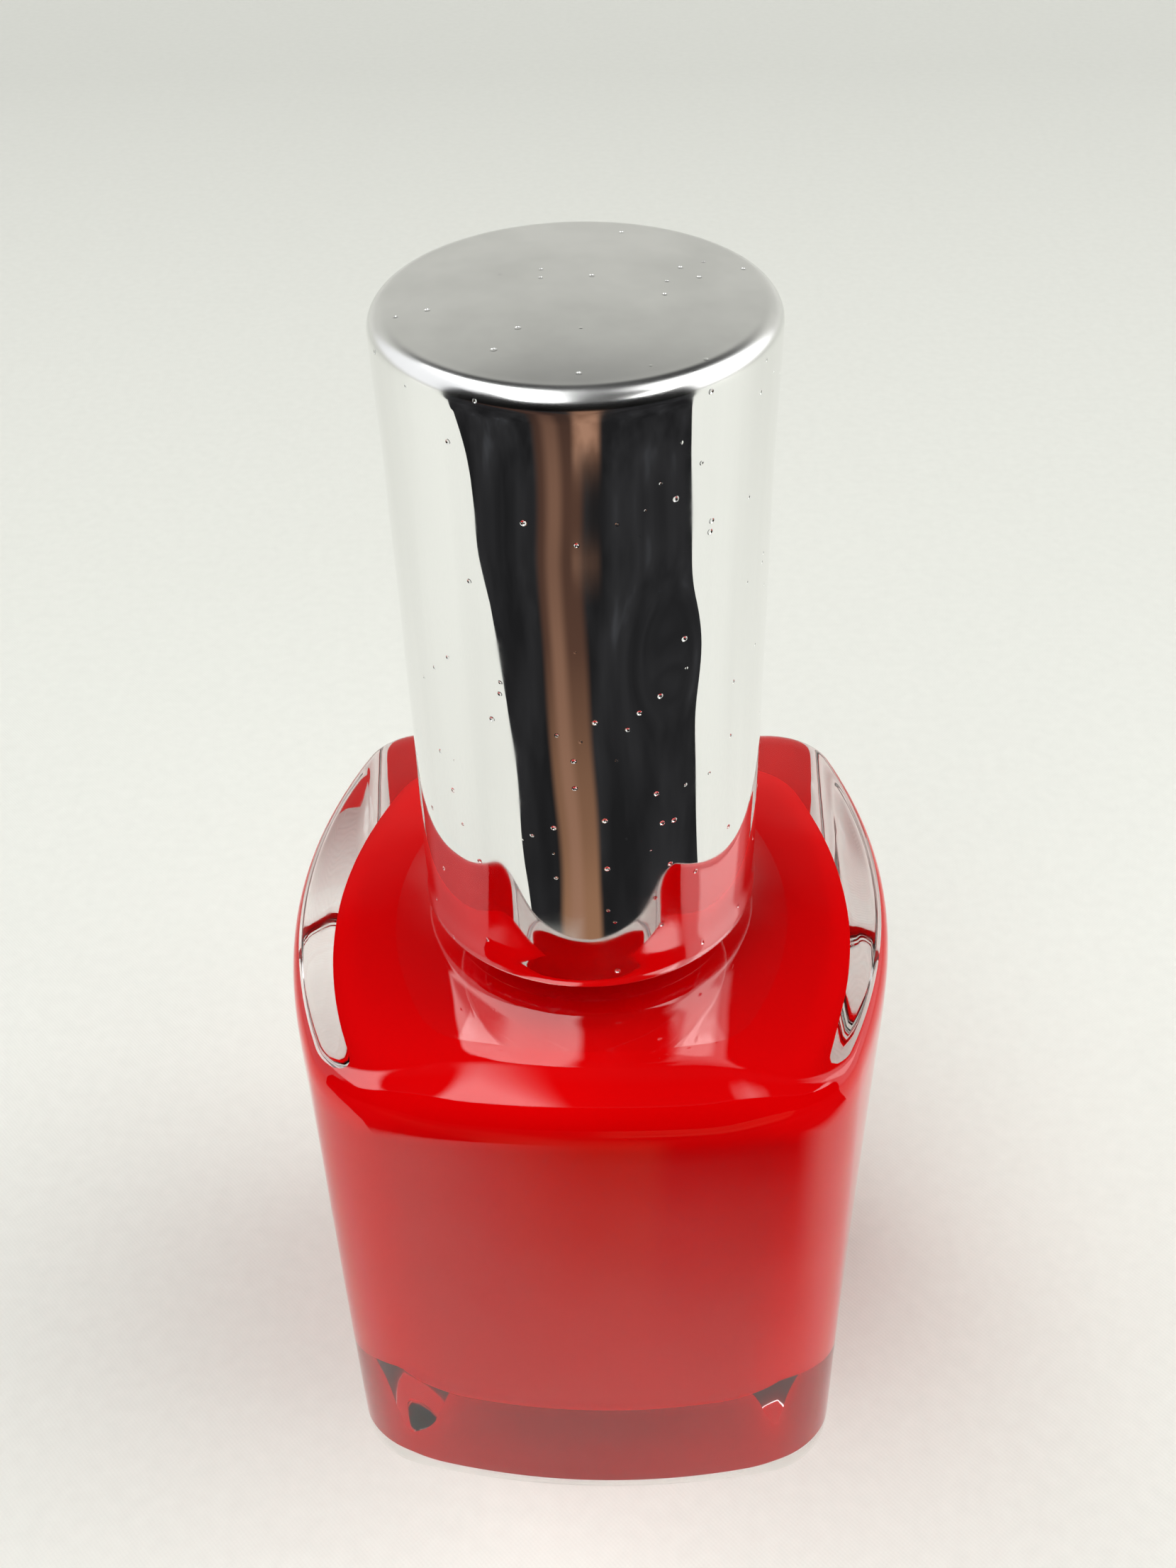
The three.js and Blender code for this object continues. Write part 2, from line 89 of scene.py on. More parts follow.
CAP_WALL = 1.0
CAP_TOP_THICKNESS = 1.4
CAP_RIM_RADIUS = 0.9
CAP_DOME = 0.35
CAP_LIP_ROUND = 0.25
WORN_RIM = 1.1

SIDE_STEPS = 14
CORNER_STEPS = 14
ARC_STEPS = 8

# The shoulder's edge is softer at the front and back than at the sides: how wide it is, the power of
# its curve, and from which share of facing the front the soft kind starts and takes over.
FRONT_FILLET = 3.6
SIDE_FILLET = 1.5
FRONT_POWER = 2.0
SIDE_POWER = 4.5
SOFT_START = 0.4
SOFT_SPAN = 0.45
SHOULDER_SLOPE = 0.5
SHOULDER_STEPS = 32
EDGE_CROWDING = 1.8


def top_of(node):
    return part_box(node)[1].z / MM


def bottom_of(node):
    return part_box(node)[0].z / MM


def radius_of(node):
    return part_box(node)[1].x / MM


LIP_HEIGHT = top_of("glass_bottle")
SHOULDER_TOP = BODY_HEIGHT + SHOULDER_RISE
CAVITY_TOP = BODY_HEIGHT - SHOULDER_THICKNESS
CAP_LIP = bottom_of("overcap")
CAP_TOP = top_of("overcap")
CAP_RADIUS = radius_of("overcap")


def mix(a, b, t):
    return a + (b - a) * t


def smooth(t):
    t = min(1.0, max(0.0, t))
    return t * t * (3 - 2 * t)


def arc(centre_radius, centre_height, radius, start, end, steps=ARC_STEPS):
    """(radius, height) points along an arc of a turned profile, from one angle to another in degrees."""
    points = []
    for i in range(steps + 1):
        angle = math.radians(mix(start, end, i / steps))
        points.append((centre_radius + radius * math.cos(angle), centre_height + radius * math.sin(angle)))
    return points


# ---- Mesh making ----

def mesh_object(name, vertices, faces, material=None, smooth_shading=True):
    mesh = bpy.data.meshes.new(name)
    mesh.from_pydata([(x * MM, y * MM, z * MM) for x, y, z in vertices], [], faces)
    mesh.validate()
    mesh.update()
    if smooth_shading:
        mesh.shade_smooth()
    made = bpy.data.objects.new(name, mesh)
    bpy.context.scene.collection.objects.link(made)
    if material:
        mesh.materials.append(material)
    return made


def skin(name, rings, material, first=None, last=None, loop=False):
    """A quad skin over rings with the same number of points. first and last are the points that close
    its ends, or loop joins its last ring to its first."""
    count = len(rings[0])
    vertices = [point for ring in rings for point in ring]
    faces = []
    pairs = [(i, i + 1) for i in range(len(rings) - 1)]
    if loop:
        pairs.append((len(rings) - 1, 0))
    for low, high in pairs:
        for i in range(count):
            j = (i + 1) % count
            faces.append((low * count + i, low * count + j, high * count + j, high * count + i))
    if first is not None:
        vertices.append(first)
        faces.extend((len(vertices) - 1, (i + 1) % count, i) for i in range(count))
    if last is not None:
        vertices.append(last)
        base = (len(rings) - 1) * count
        faces.extend((len(vertices) - 1, base + i, base + (i + 1) % count) for i in range(count))
    return mesh_object(name, vertices, faces, material)


def turned_rings(profile, segments):
    rings = []
    for radius, height in profile:
        ring = []
        for i in range(segments):
            angle = 2 * math.pi * i / segments
            ring.append((radius * math.cos(angle), radius * math.sin(angle), height))
        rings.append(ring)
    return rings


# ---- Outline of the square body ----

def quarter(size, corner_radius):
    """One quarter of the outline, from the middle of the +X face to the middle of +Y."""
    width, depth = size["width"], size["depth"]
    side_bulge, front_bulge = size["side_bulge"], size["front_bulge"]

    def side_x(y):
        return width - side_bulge * (y / depth) ** 2

    def front_y(x):
        return depth - front_bulge * (x / width) ** 2

    def side_angle(y):
        return math.atan(2 * side_bulge * y / depth ** 2)

    def front_angle(x):
        return math.pi / 2 - math.atan(2 * front_bulge * x / width ** 2)

    side_end = depth - corner_radius
    front_end = width - corner_radius
    for _ in range(30):
        centre_x = side_x(side_end) - corner_radius * math.cos(side_angle(side_end))
        centre_y = front_y(front_end) - corner_radius * math.sin(front_angle(front_end))
        side_end = centre_y + corner_radius * math.sin(side_angle(side_end))
        front_end = centre_x + corner_radius * math.cos(front_angle(front_end))
    points = []
    for i in range(SIDE_STEPS):
        y = side_end * i / SIDE_STEPS
        points.append((side_x(y), y))
    for i in range(CORNER_STEPS + 1):
        angle = mix(side_angle(side_end), front_angle(front_end), i / CORNER_STEPS)
        x = centre_x + corner_radius * math.cos(angle)
        y = centre_y + corner_radius * math.sin(angle)
        points.append((x, y))
    for i in range(1, SIDE_STEPS):
        x = front_end * (1 - i / SIDE_STEPS)
        points.append((x, front_y(x)))
    return points


def outline(height, inset, corner_radius=CORNER_RADIUS):
    """The whole outline at a height on the body, drawn in from its faces by an inset."""
    t = height / BODY_HEIGHT
    size = {key: mix(FOOT[key], SHOULDER[key], t) for key in FOOT}
    size["width"] -= inset
    size["depth"] -= inset
    first = quarter(size, corner_radius)
    mirrored = [(0, size["depth"])] + first[:0:-1]
    half = first + [(-x, y) for x, y in mirrored]
    return half + [(-x, -y) for x, y in half]


def ring_at(points, height):
    return [(x, y, height) for x, y in points]


def round_ring(points, radius, height):
    """A round ring whose points lie in the same directions as the outline's points."""
    ring = []
    for point in points:
        length = math.hypot(point[0], point[1])
        ring.append((point[0] / length * radius, point[1] / length * radius, height))
    return ring


def between(outer, inner, t, height):
    return [(mix(a[0], b[0], t), mix(a[1], b[1], t), height) for a, b in zip(outer, inner)]


# ---- Glass ----

def thread_ridge(angle, height):
    """A thread's share of its full height, at an angle and a height above its start."""
    share = 0.0
    for turn in range(math.ceil(THREAD_TURNS)):
        along = angle / (2 * math.pi) + turn
        if along > THREAD_TURNS:
            continue
        distance = abs(height - along * THREAD_PITCH) / THREAD_PITCH
        taper = smooth(min(along, THREAD_TURNS - along) / THREAD_RUN_OUT)
        share = max(share, taper * smooth((RIDGE_HALF - distance) / RIDGE_FLANK))
    return share


def neck_ring(edge, radius, height):
    ring = []
    for x, y, z in round_ring(edge, radius, height):
        angle = math.atan2(y, x) % (2 * math.pi)
        ridge = thread_ridge(angle, height - SHOULDER_TOP - THREAD_START)
        out = 1 + ridge * (THREAD_CREST - NECK_RADIUS) / radius
        ring.append((x * out, y * out, z))
    return ring


def shoulder_rings(neck_foot):
    """The shoulder's rounded edge and its slow rise, from the body's wall in to the neck's foot."""
    rings = []
    low = BODY_HEIGHT - SHOULDER_RADIUS
    edge_rise = SHOULDER_TOP - SHOULDER_SLOPE - low
    edge = outline(low, 0)
    for i in range(SHOULDER_STEPS):
        across = (i / SHOULDER_STEPS) ** EDGE_CROWDING
        ring = []
        for (x, y), inner in zip(edge, neck_foot):
            facing = smooth(((y / math.hypot(x, y)) ** 2 - SOFT_START) / SOFT_SPAN)
            power = mix(SIDE_POWER, FRONT_POWER, facing)
            fillet = mix(SIDE_FILLET, FRONT_FILLET, facing)
            along = min(1.0, across * math.hypot(x - inner[0], y - inner[1]) / fillet)
            height = low + edge_rise * (1 - (1 - along) ** power) ** (1 / power)
            height += SHOULDER_SLOPE * math.sin(across * math.pi / 2)
            ring.append((mix(x, inner[0], across), mix(y, inner[1], across), height))
        rings.append(ring)
    return rings


def outside_rings():
    rings = []
    land = outline(0, HEEL_RADIUS + FOOT_LAND)
    hollow_steps = 16
    for i in range(1, hollow_steps + 1):
        t = i / hollow_steps
        rise = PUSH_UP * (1 - smooth((t - HOLLOW_FLAT) / (1 - HOLLOW_FLAT)))
        rings.append([(x * t, y * t, rise) for x, y in land])
    rings.append(ring_at(outline(0, HEEL_RADIUS + FOOT_EDGE), 0.0))
    for i in range(ARC_STEPS + 1):
        angle = math.pi / 2 * i / ARC_STEPS
        height = HEEL_RADIUS * (1 - math.cos(angle))
        rings.append(ring_at(outline(height, HEEL_RADIUS * (1 - math.sin(angle))), height))
    wall_steps = 22
    for i in range(1, wall_steps):
        height = mix(HEEL_RADIUS, BODY_HEIGHT - SHOULDER_RADIUS, i / wall_steps)
        rings.append(ring_at(outline(height, 0), height))
    edge = outline(BODY_HEIGHT, SHOULDER_RADIUS)
    neck_foot = round_ring(edge, NECK_RADIUS + NECK_FILLET, SHOULDER_TOP)
    rings += shoulder_rings(neck_foot)
    for radius, height in arc(NECK_RADIUS + NECK_FILLET, SHOULDER_TOP + NECK_FILLET, NECK_FILLET, 270, 180):
        rings.append(round_ring(edge, radius, height))
    neck_bottom = SHOULDER_TOP + NECK_FILLET
    neck_top = LIP_HEIGHT - LIP_RADIUS
    neck_steps = 76
    for i in range(1, neck_steps):
        rings.append(neck_ring(edge, NECK_RADIUS, mix(neck_bottom, neck_top, i / neck_steps)))
    for radius, height in arc(NECK_RADIUS - LIP_RADIUS, neck_top, LIP_RADIUS, 0, 90, 6):
        rings.append(round_ring(edge, radius, height))
    return rings


def cavity_rings(gap):
    """The cavity from its floor up to its shoulder. gap draws it in all round, or out where negative."""
    rings = []
    floor = FLOOR_THICKNESS + gap
    top = CAVITY_TOP - gap

    def cavity_outline(height, inset):
        t = height / BODY_HEIGHT
        wall = mix(CAVITY_FOOT["wall"], CAVITY_SHOULDER["wall"], t)
        return outline(height, wall + gap + inset, mix(CAVITY_FOOT["corner"], CAVITY_SHOULDER["corner"], t))

    base = cavity_outline(floor, CAVITY_BOTTOM_RADIUS)
    for t in (0.3, 0.6, 0.85):
        rings.append([(x * t, y * t, floor) for x, y in base])
    for i in range(ARC_STEPS + 1):
        angle = math.pi / 2 * i / ARC_STEPS
        height = floor + CAVITY_BOTTOM_RADIUS * (1 - math.cos(angle))
        rings.append(ring_at(cavity_outline(height, CAVITY_BOTTOM_RADIUS * (1 - math.sin(angle))), height))
    wall_steps = 16
    wall_low = floor + CAVITY_BOTTOM_RADIUS
    wall_high = top - CAVITY_TOP_RADIUS
    for i in range(1, wall_steps):
        height = mix(wall_low, wall_high, i / wall_steps)
        rings.append(ring_at(cavity_outline(height, 0), height))
    for i in range(ARC_STEPS + 1):
        angle = math.pi / 2 * i / ARC_STEPS
        height = top - CAVITY_TOP_RADIUS * (1 - math.sin(angle))
        rings.append(ring_at(cavity_outline(height, CAVITY_TOP_RADIUS * (1 - math.cos(angle))), height))
    return rings


def throat_rings(rim, gap, top_height):
    """From the cavity's shoulder in to the neck's bore, and up the bore to a height."""
    rings = []
    bore = round_ring(rim, NECK_BORE - gap, 0)
    rise = SHOULDER_TOP - THROAT_DEPTH - CAVITY_TOP
    steps = 10
    for i in range(1, steps + 1):
        t = i / steps
        height = rim[0][2] + rise * (1 - math.cos(t * math.pi / 2))
        if height > top_height:
            break
        rings.append(between(rim, bore, math.sin(t * math.pi / 2), height))
    return rings


def make_glass(material):
    inside = cavity_rings(0)
    throat = throat_rings(inside[-1], 0, LIP_HEIGHT)
    edge = outline(BODY_HEIGHT, SHOULDER_RADIUS)
    mouth = []
    for radius, height in arc(NECK_BORE + LIP_RADIUS, LIP_HEIGHT - LIP_RADIUS, LIP_RADIUS, 90, 180, 6):
        mouth.append(round_ring(edge, radius, height))
    bore_low = throat[-1][0][2]
    for i in range(1, 8):
        mouth.append(round_ring(edge, NECK_BORE, mix(LIP_HEIGHT - LIP_RADIUS, bore_low, i / 8)))
    rings = outside_rings() + mouth + throat[::-1] + inside[::-1]
    glass = skin("bottle_glass", rings, material, (0, 0, PUSH_UP), (0, 0, FLOOR_THICKNESS))
    glass.visible_diffuse = False
    glass.visible_shadow = False
    return glass


# ---- Lacquer ----

# How far the lacquer reaches past the cavity's wall into the glass, so that no air shows between them.
WETTING = -0.03
# The pocket that the brush stands in.
POCKET_RADIUS = 2.15
POCKET_BOTTOM = 6.8
POCKET_ROUND = 0.6
RIM_ROUND = 0.15
SURFACE_DIP = 0.1


def make_lacquer(material):
    rings = cavity_rings(WETTING)
    level = top_of("nail_lacquer")
    throat = throat_rings(rings[-1], WETTING, level)
    rings += throat
    rim = rings[-1]
    pocket = round_ring(rim, POCKET_RADIUS, level)
    for t in (0.15, 0.5, 0.85):
        rings.append(between(rim, pocket, t, level - SURFACE_DIP * math.sin(t * math.pi)))
    for radius, height in arc(POCKET_RADIUS + RIM_ROUND, level - RIM_ROUND, RIM_ROUND, 90, 180, 4):
        rings.append(round_ring(rim, radius, height))
    pocket_low = POCKET_BOTTOM + POCKET_ROUND
    for height in (level - 4, level - 12, pocket_low):
        rings.append(round_ring(rim, POCKET_RADIUS, height))
    for radius, height in arc(POCKET_RADIUS - POCKET_ROUND, pocket_low, POCKET_ROUND, 0, -90, 4)[1:]:
        rings.append(round_ring(rim, radius, height))
    return skin("lacquer_pool", rings, material, (0, 0, FLOOR_THICKNESS + WETTING), (0, 0, POCKET_BOTTOM))


# ---- Cap ----

# The cap's waves, as (how many cross it, how many to a millimetre of height, half depth), and its dent.
CAP_WAVES = [(1.1, 0.05, 0.1), (2.6, 0.17, 0.04)]
DENT_ANGLE = math.radians(-62)
DENT_HEIGHT = 57
DENT_DEPTH = 0.2
DENT_SPREAD = 2.4
DENT_STRETCH = 0.6
WAVE_FREE_LIP = 1.5
WAVE_FREE_TOP = 7


def cap_waviness(angle, height):
    """The moulded shell is not a perfect cylinder: soft waves and one shallow dent, inwards only."""
    depth = 0.0
    for around, along, half_depth in CAP_WAVES:
        spot = Vector((math.cos(angle) * around, math.sin(angle) * around, height * along))
        depth += half_depth * (1 + noise.noise(spot))
    across = (angle - DENT_ANGLE + math.pi) % (2 * math.pi) - math.pi
    squared = (across * CAP_RADIUS) ** 2 + ((height - DENT_HEIGHT) * DENT_STRETCH) ** 2
    return depth + DENT_DEPTH * math.exp(-squared / DENT_SPREAD)


def make_cap(material):
    inner = CAP_RADIUS - CAP_WALL
    shoulder = CAP_TOP - CAP_DOME - CAP_RIM_RADIUS
    flat = CAP_RADIUS - CAP_RIM_RADIUS
    ceiling = CAP_TOP - CAP_TOP_THICKNESS
    profile = [(inner * t, ceiling) for t in (0.25, 0.5, 0.75, 0.97)]
    profile += [(inner, mix(ceiling, CAP_LIP + CAP_LIP_ROUND, i / 12)) for i in range(13)]
    profile += arc(inner + CAP_LIP_ROUND, CAP_LIP + CAP_LIP_ROUND, CAP_LIP_ROUND, 180, 270, 4)
    profile += arc(CAP_RADIUS - CAP_LIP_ROUND, CAP_LIP + CAP_LIP_ROUND, CAP_LIP_ROUND, 270, 360, 4)
    wall_low = CAP_LIP + CAP_LIP_ROUND
    wall_steps = 72
    profile += [(CAP_RADIUS, mix(wall_low, shoulder, i / wall_steps)) for i in range(1, wall_steps)]
    profile += arc(flat, shoulder, CAP_RIM_RADIUS, 0, 90, 12)
    for t in (0.96, 0.9, 0.8, 0.7, 0.6, 0.5, 0.4, 0.3, 0.2, 0.1):
        profile.append((flat * t, CAP_TOP - CAP_DOME * t * t))
    wavy_top = shoulder + 0.2
    shaped = []
    for ring in turned_rings(profile, 240):
        shaped_ring = []
        for x, y, z in ring:
            radius = math.hypot(x, y)
            if radius > inner + CAP_WALL / 2 and wall_low < z < wavy_top:
                ease = smooth((z - wall_low) / WAVE_FREE_LIP) * smooth((wavy_top - z) / WAVE_FREE_TOP)
                share = 1 - cap_waviness(math.atan2(y, x), z) * ease / radius
                x, y = x * share, y * share
            shaped_ring.append((x, y, z))
        shaped.append(shaped_ring)
    return skin("mirror_cap", shaped, material, (0, 0, ceiling), (0, 0, CAP_TOP))


# ---- Screw closure, washer and brush ----

CLOSURE_BORE = 7.05
CLOSURE_DECK = 1.4
CLOSURE_RIBS = 28
CLOSURE_RIB_DEPTH = 0.28
CLOSURE_THREAD_START = 1.6
CLOSURE_EDGE = 0.2
CLOSURE_SHOULDER = 0.35
COLLAR_ROUND = 0.3
THREAD_CLEARANCE = 0.06
COLLAR_RADIUS = 4.4
PLUG_BORE = 3.0
WASHER_BORE = 2.5

STEM_TOP_RADIUS = 2.0
STEM_TIP_RADIUS = 1.75
SOCKET_RADIUS = 1.25
SOCKET_DEPTH = 4.2
FLANGE_RADIUS = 5.4
FLANGE_THICKNESS = 1.0
PLUG_RADIUS = 2.7
STEM_EDGE = 0.2
FLANGE_FILLET = 0.4
BARB_DEPTH = 0.12

CLOSURE_BOTTOM = bottom_of("inner_cap")
COLLAR_TOP = top_of("inner_cap")
DECK_TOP = COLLAR_TOP - 4.2
DECK_BOTTOM = DECK_TOP - CLOSURE_DECK
STEM_TIP = bottom_of("brush_stem")
PLUG_TOP = top_of("brush_stem")
FLANGE_BOTTOM = DECK_BOTTOM - 0.3 - FLANGE_THICKNESS


def make_closure(material):
    outer = radius_of("inner_cap")
    segments = CLOSURE_RIBS * 10

    def ribbed(radius, height, depth):
        ring = []
        for i in range(segments):
            angle = 2 * math.pi * i / segments
            groove = smooth(0.5 - 1.6 * math.cos(angle * CLOSURE_RIBS))
            out = radius - depth * groove
            ring.append((out * math.cos(angle), out * math.sin(angle), height))
        return ring

    def threaded(height):
        """The bore with its own thread, which starts half a turn from the neck's."""
        ring = []
        for i in range(segments):
            angle = 2 * math.pi * i / segments
            turned = (angle - math.pi) % (2 * math.pi)
            ridge = thread_ridge(turned, height - CLOSURE_BOTTOM - CLOSURE_THREAD_START)
            radius = CLOSURE_BORE - ridge * (CLOSURE_BORE - THREAD_CREST - THREAD_CLEARANCE)
            ring.append((radius * math.cos(angle), radius * math.sin(angle), height))
        return ring

    rings = []
    for radius, height in arc(outer - CLOSURE_EDGE, CLOSURE_BOTTOM + CLOSURE_EDGE, CLOSURE_EDGE, 270, 360, 4):
        rings.append(ribbed(radius, height, CLOSURE_RIB_DEPTH))
    deck_edge = DECK_TOP - CLOSURE_SHOULDER
    for radius, height in arc(outer - CLOSURE_SHOULDER, deck_edge, CLOSURE_SHOULDER, 0, 90, 5):
        rings.append(ribbed(radius, height, CLOSURE_RIB_DEPTH * 0.9))
    profile = [(outer - 1.2, DECK_TOP), (COLLAR_RADIUS + 0.6, DECK_TOP)]
    profile += arc(COLLAR_RADIUS + COLLAR_ROUND, DECK_TOP + COLLAR_ROUND, COLLAR_ROUND, 270, 180, 4)
    profile += arc(COLLAR_RADIUS - COLLAR_ROUND, COLLAR_TOP - COLLAR_ROUND, COLLAR_ROUND, 0, 90, 4)
    profile += arc(PLUG_BORE + CLOSURE_EDGE, COLLAR_TOP - CLOSURE_EDGE, CLOSURE_EDGE, 90, 180, 3)
    profile += [(PLUG_BORE, DECK_BOTTOM + 0.1), (PLUG_BORE + 0.1, DECK_BOTTOM)]
    profile += [(CLOSURE_BORE - 0.7, DECK_BOTTOM), (CLOSURE_BORE - 0.3, DECK_BOTTOM)]
    rings += turned_rings(profile, segments)
    steps = 60
    for i in range(steps + 1):
        rings.append(threaded(mix(DECK_BOTTOM - 0.3, CLOSURE_BOTTOM + 0.3, i / steps)))
    rings += turned_rings([(CLOSURE_BORE + 0.1, CLOSURE_BOTTOM)], segments)
    return skin("screw_closure", rings, material, loop=True)


def make_washer(material):
    low, high = bottom_of("seal_washer"), top_of("seal_washer")
    inner, outer = WASHER_BORE, radius_of("seal_washer")
    rounding = 0.12
    profile = arc(outer - rounding, low + rounding, rounding, 270, 360, 4)
    profile += arc(outer - rounding, high - rounding, rounding, 0, 90, 4)
    profile += [(mix(outer, inner, t), high - 0.04 * math.sin(t * math.pi)) for t in (0.25, 0.5, 0.75)]
    profile += arc(inner + rounding, high - rounding, rounding, 90, 180, 4)
    profile += arc(inner + rounding, low + rounding, rounding, 180, 270, 4)
    return skin("foam_washer", turned_rings(profile, 96), material, loop=True)


def make_stem(material):
    profile = [(SOCKET_RADIUS * t, STEM_TIP + SOCKET_DEPTH) for t in (0.4, 0.9)]
    profile += [(SOCKET_RADIUS, STEM_TIP + SOCKET_DEPTH - 0.1), (SOCKET_RADIUS, STEM_TIP + 0.1)]
    profile += arc(SOCKET_RADIUS + 0.08, STEM_TIP + 0.08, 0.08, 180, 270, 3)
    profile += arc(STEM_TIP_RADIUS - STEM_EDGE, STEM_TIP + STEM_EDGE, STEM_EDGE, 270, 360, 5)
    taper_top = LIP_HEIGHT - 4
    taper_steps = 12
    for i in range(1, taper_steps + 1):
        t = i / taper_steps
        profile.append((mix(STEM_TIP_RADIUS, STEM_TOP_RADIUS, t), mix(STEM_TIP + STEM_EDGE, taper_top, t)))
    profile += arc(STEM_TOP_RADIUS + FLANGE_FILLET, FLANGE_BOTTOM - FLANGE_FILLET, FLANGE_FILLET, 180, 90, 5)
    flange_top = FLANGE_BOTTOM + FLANGE_THICKNESS
    profile += arc(FLANGE_RADIUS - STEM_EDGE, FLANGE_BOTTOM + STEM_EDGE, STEM_EDGE, 270, 360, 4)
    profile += arc(FLANGE_RADIUS - STEM_EDGE, flange_top - STEM_EDGE, STEM_EDGE, 0, 90, 4)
    profile += [(PLUG_RADIUS + 0.1, flange_top)]
    for barb in range(3):
        height = mix(DECK_TOP, PLUG_TOP - 1.4, barb / 2)
        profile += [(PLUG_RADIUS - BARB_DEPTH, height - 0.35), (PLUG_RADIUS, height)]
        profile += [(PLUG_RADIUS - 0.02, height + 0.1)]
    profile += arc(PLUG_RADIUS - 0.5, PLUG_TOP - 0.5, 0.5, 0, 90, 5)
    rings = turned_rings(profile, 96)
    return skin("brush_stem_moulding", rings, material, (0, 0, STEM_TIP + SOCKET_DEPTH), (0, 0, PLUG_TOP))


def make_anchor(material):
    """A strip of metal plate with rounded ends and softened edges."""
    low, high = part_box("bristle_anchor")
    half = high.x / MM
    thick = high.y / MM
    bottom, top = low.z / MM, high.z / MM
    bevel = 0.06
    plan = arc(half - thick, 0, thick, -90, 90) + arc(thick - half, 0, thick, 90, 270)
    rings = []
    for height, inset in ((bottom, bevel), (bottom + bevel, 0), (top - bevel, 0), (top, bevel)):
        scale_x = (half - inset) / half
        scale_y = (thick - inset) / thick
        rings.append([(x * scale_x, y * scale_y, height) for x, y in plan])
    return skin("anchor_plate", rings, material, (0, 0, bottom), (0, 0, top))


BRISTLES = 260
BRISTLE_SEED = 7
BRISTLE_SIDES = 5
BRISTLE_STATIONS = 12
BRISTLE_THICKNESS = 0.055
BRISTLE_ROOT_RADIUS = 0.9


def make_bristles(material):
    """Fine tapered filaments, packed in the socket, spreading to the belly and closing to a rounded tip."""
    rng = random.Random(BRISTLE_SEED)
    belly = radius_of("bristle_tuft")
    tip = bottom_of("bristle_tuft")
    root = top_of("bristle_tuft")
    vertices = []
    faces = []
    for k in range(BRISTLES):
        share = math.sqrt((k + 0.5) / BRISTLES)
        angle = k * math.pi * (3 - math.sqrt(5)) + rng.uniform(-0.08, 0.08)
        ending = tip + 0.25 + 1.9 * share ** 3 + rng.uniform(0, 0.5)
        start = len(vertices)
        for i in range(BRISTLE_STATIONS):
            t = i / (BRISTLE_STATIONS - 1)
            height = mix(root, ending, t)
            down = min(1.0, max(0.0, (STEM_TIP - height) / (STEM_TIP - tip)))
            spread = mix(BRISTLE_ROOT_RADIUS, belly - 0.1, math.sin(min(1.0, down * 1.45) * math.pi / 2))
            spread *= 1 - 0.2 * smooth((down - 0.75) / 0.25)
            lean = angle + 0.12 * down
            x = spread * share * math.cos(lean) + 0.04 * down * math.sin(k * 1.7)
            y = spread * share * math.sin(lean) + 0.04 * down * math.cos(k * 2.3)
            radius = BRISTLE_THICKNESS * (1 - 0.45 * down) * (1 if t < 1 else 0.35)
            for j in range(BRISTLE_SIDES):
                turn = 2 * math.pi * j / BRISTLE_SIDES
                vertices.append((x + radius * math.cos(turn), y + radius * math.sin(turn), height))
        for i in range(BRISTLE_STATIONS - 1):
            ring = start + i * BRISTLE_SIDES
            for j in range(BRISTLE_SIDES):
                low = ring + j
                next_low = ring + (j + 1) % BRISTLE_SIDES
                faces.append((low, low + BRISTLE_SIDES, next_low + BRISTLE_SIDES, next_low))
        end = start + (BRISTLE_STATIONS - 1) * BRISTLE_SIDES
        faces.append(tuple(start + j for j in range(BRISTLE_SIDES)))
        faces.append(tuple(end + j for j in reversed(range(BRISTLE_SIDES))))
    return mesh_object("bristles", vertices, faces, material)


# ---- Mixing balls and label ----

def make_ball(name, node, material):
    """A tumbled steel ball: a fine sphere with the small flats and dings that shaking leaves."""
    low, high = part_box(node)
    centre = (low + high) / 2 / MM
    radius = (high.x - low.x) / 2 / MM
    steps = 40
    rings = []
    for i in range(1, steps):
        polar = math.pi * i / steps
        ring = []
        for j in range(2 * steps):
            turn = math.pi * j / steps
            flat = math.sin(polar)
            direction = Vector((flat * math.cos(turn), flat * math.sin(turn), -math.cos(polar)))
            worn = 0.008 * abs(noise.noise(direction * 2.5 + centre)) ** 0.5
            point = centre + direction * radius * (0.998 - worn)
            ring.append(tuple(point))
        rings.append(ring)
    south = (centre.x, centre.y, centre.z - radius * 0.997)
    north = (centre.x, centre.y, centre.z + radius * 0.997)
    return skin(name, rings, material, south, north)


def make_label(material):
    """A blank paper disc under the foot, cockled a little where its glue has dried."""
    low, high = bottom_of("base_label"), top_of("base_label")
    radius = radius_of("base_label")
    middle = (low + high) / 2
    half = (high - low) / 2 - 0.02
    rings = []
    inward = (0.985, 0.8, 0.5, 0.2)
    for t, side in [(t, -1) for t in inward[::-1]] + [(1, 0)] + [(t, 1) for t in inward]:
        ring = []
        for i in range(96):
            angle = 2 * math.pi * i / 96
            x, y = radius * t * math.cos(angle), radius * t * math.sin(angle)
            cockle = 0.018 * noise.noise(Vector((x * 0.45, y * 0.45, 3.0)))
            ring.append((x, y, middle + side * half + cockle))
        rings.append(ring)
    return skin("base_label_paper", rings, material, (0, 0, middle - half), (0, 0, middle + half))


# ---- Materials ----

def new_material(name, **values):
    material = bpy.data.materials.new(name)
    material.use_nodes = True
    shader = material.node_tree.nodes["Principled BSDF"]
    for key, value in values.items():
        socket = shader.inputs[key.replace("_", " ")]
        if hasattr(socket.default_value, "__len__") and len(value) == 3:
            value = (*value, 1.0)
        socket.default_value = value
    return material, material.node_tree, shader


def add(tree, kind, **settings):
    node = tree.nodes.new(kind)
    for key, value in settings.items():
        if key in node.inputs:
            node.inputs[key].default_value = value
        else:
            setattr(node, key, value)
    return node


def coordinates(tree):
    return add(tree, "ShaderNodeTexCoord").outputs["Object"]


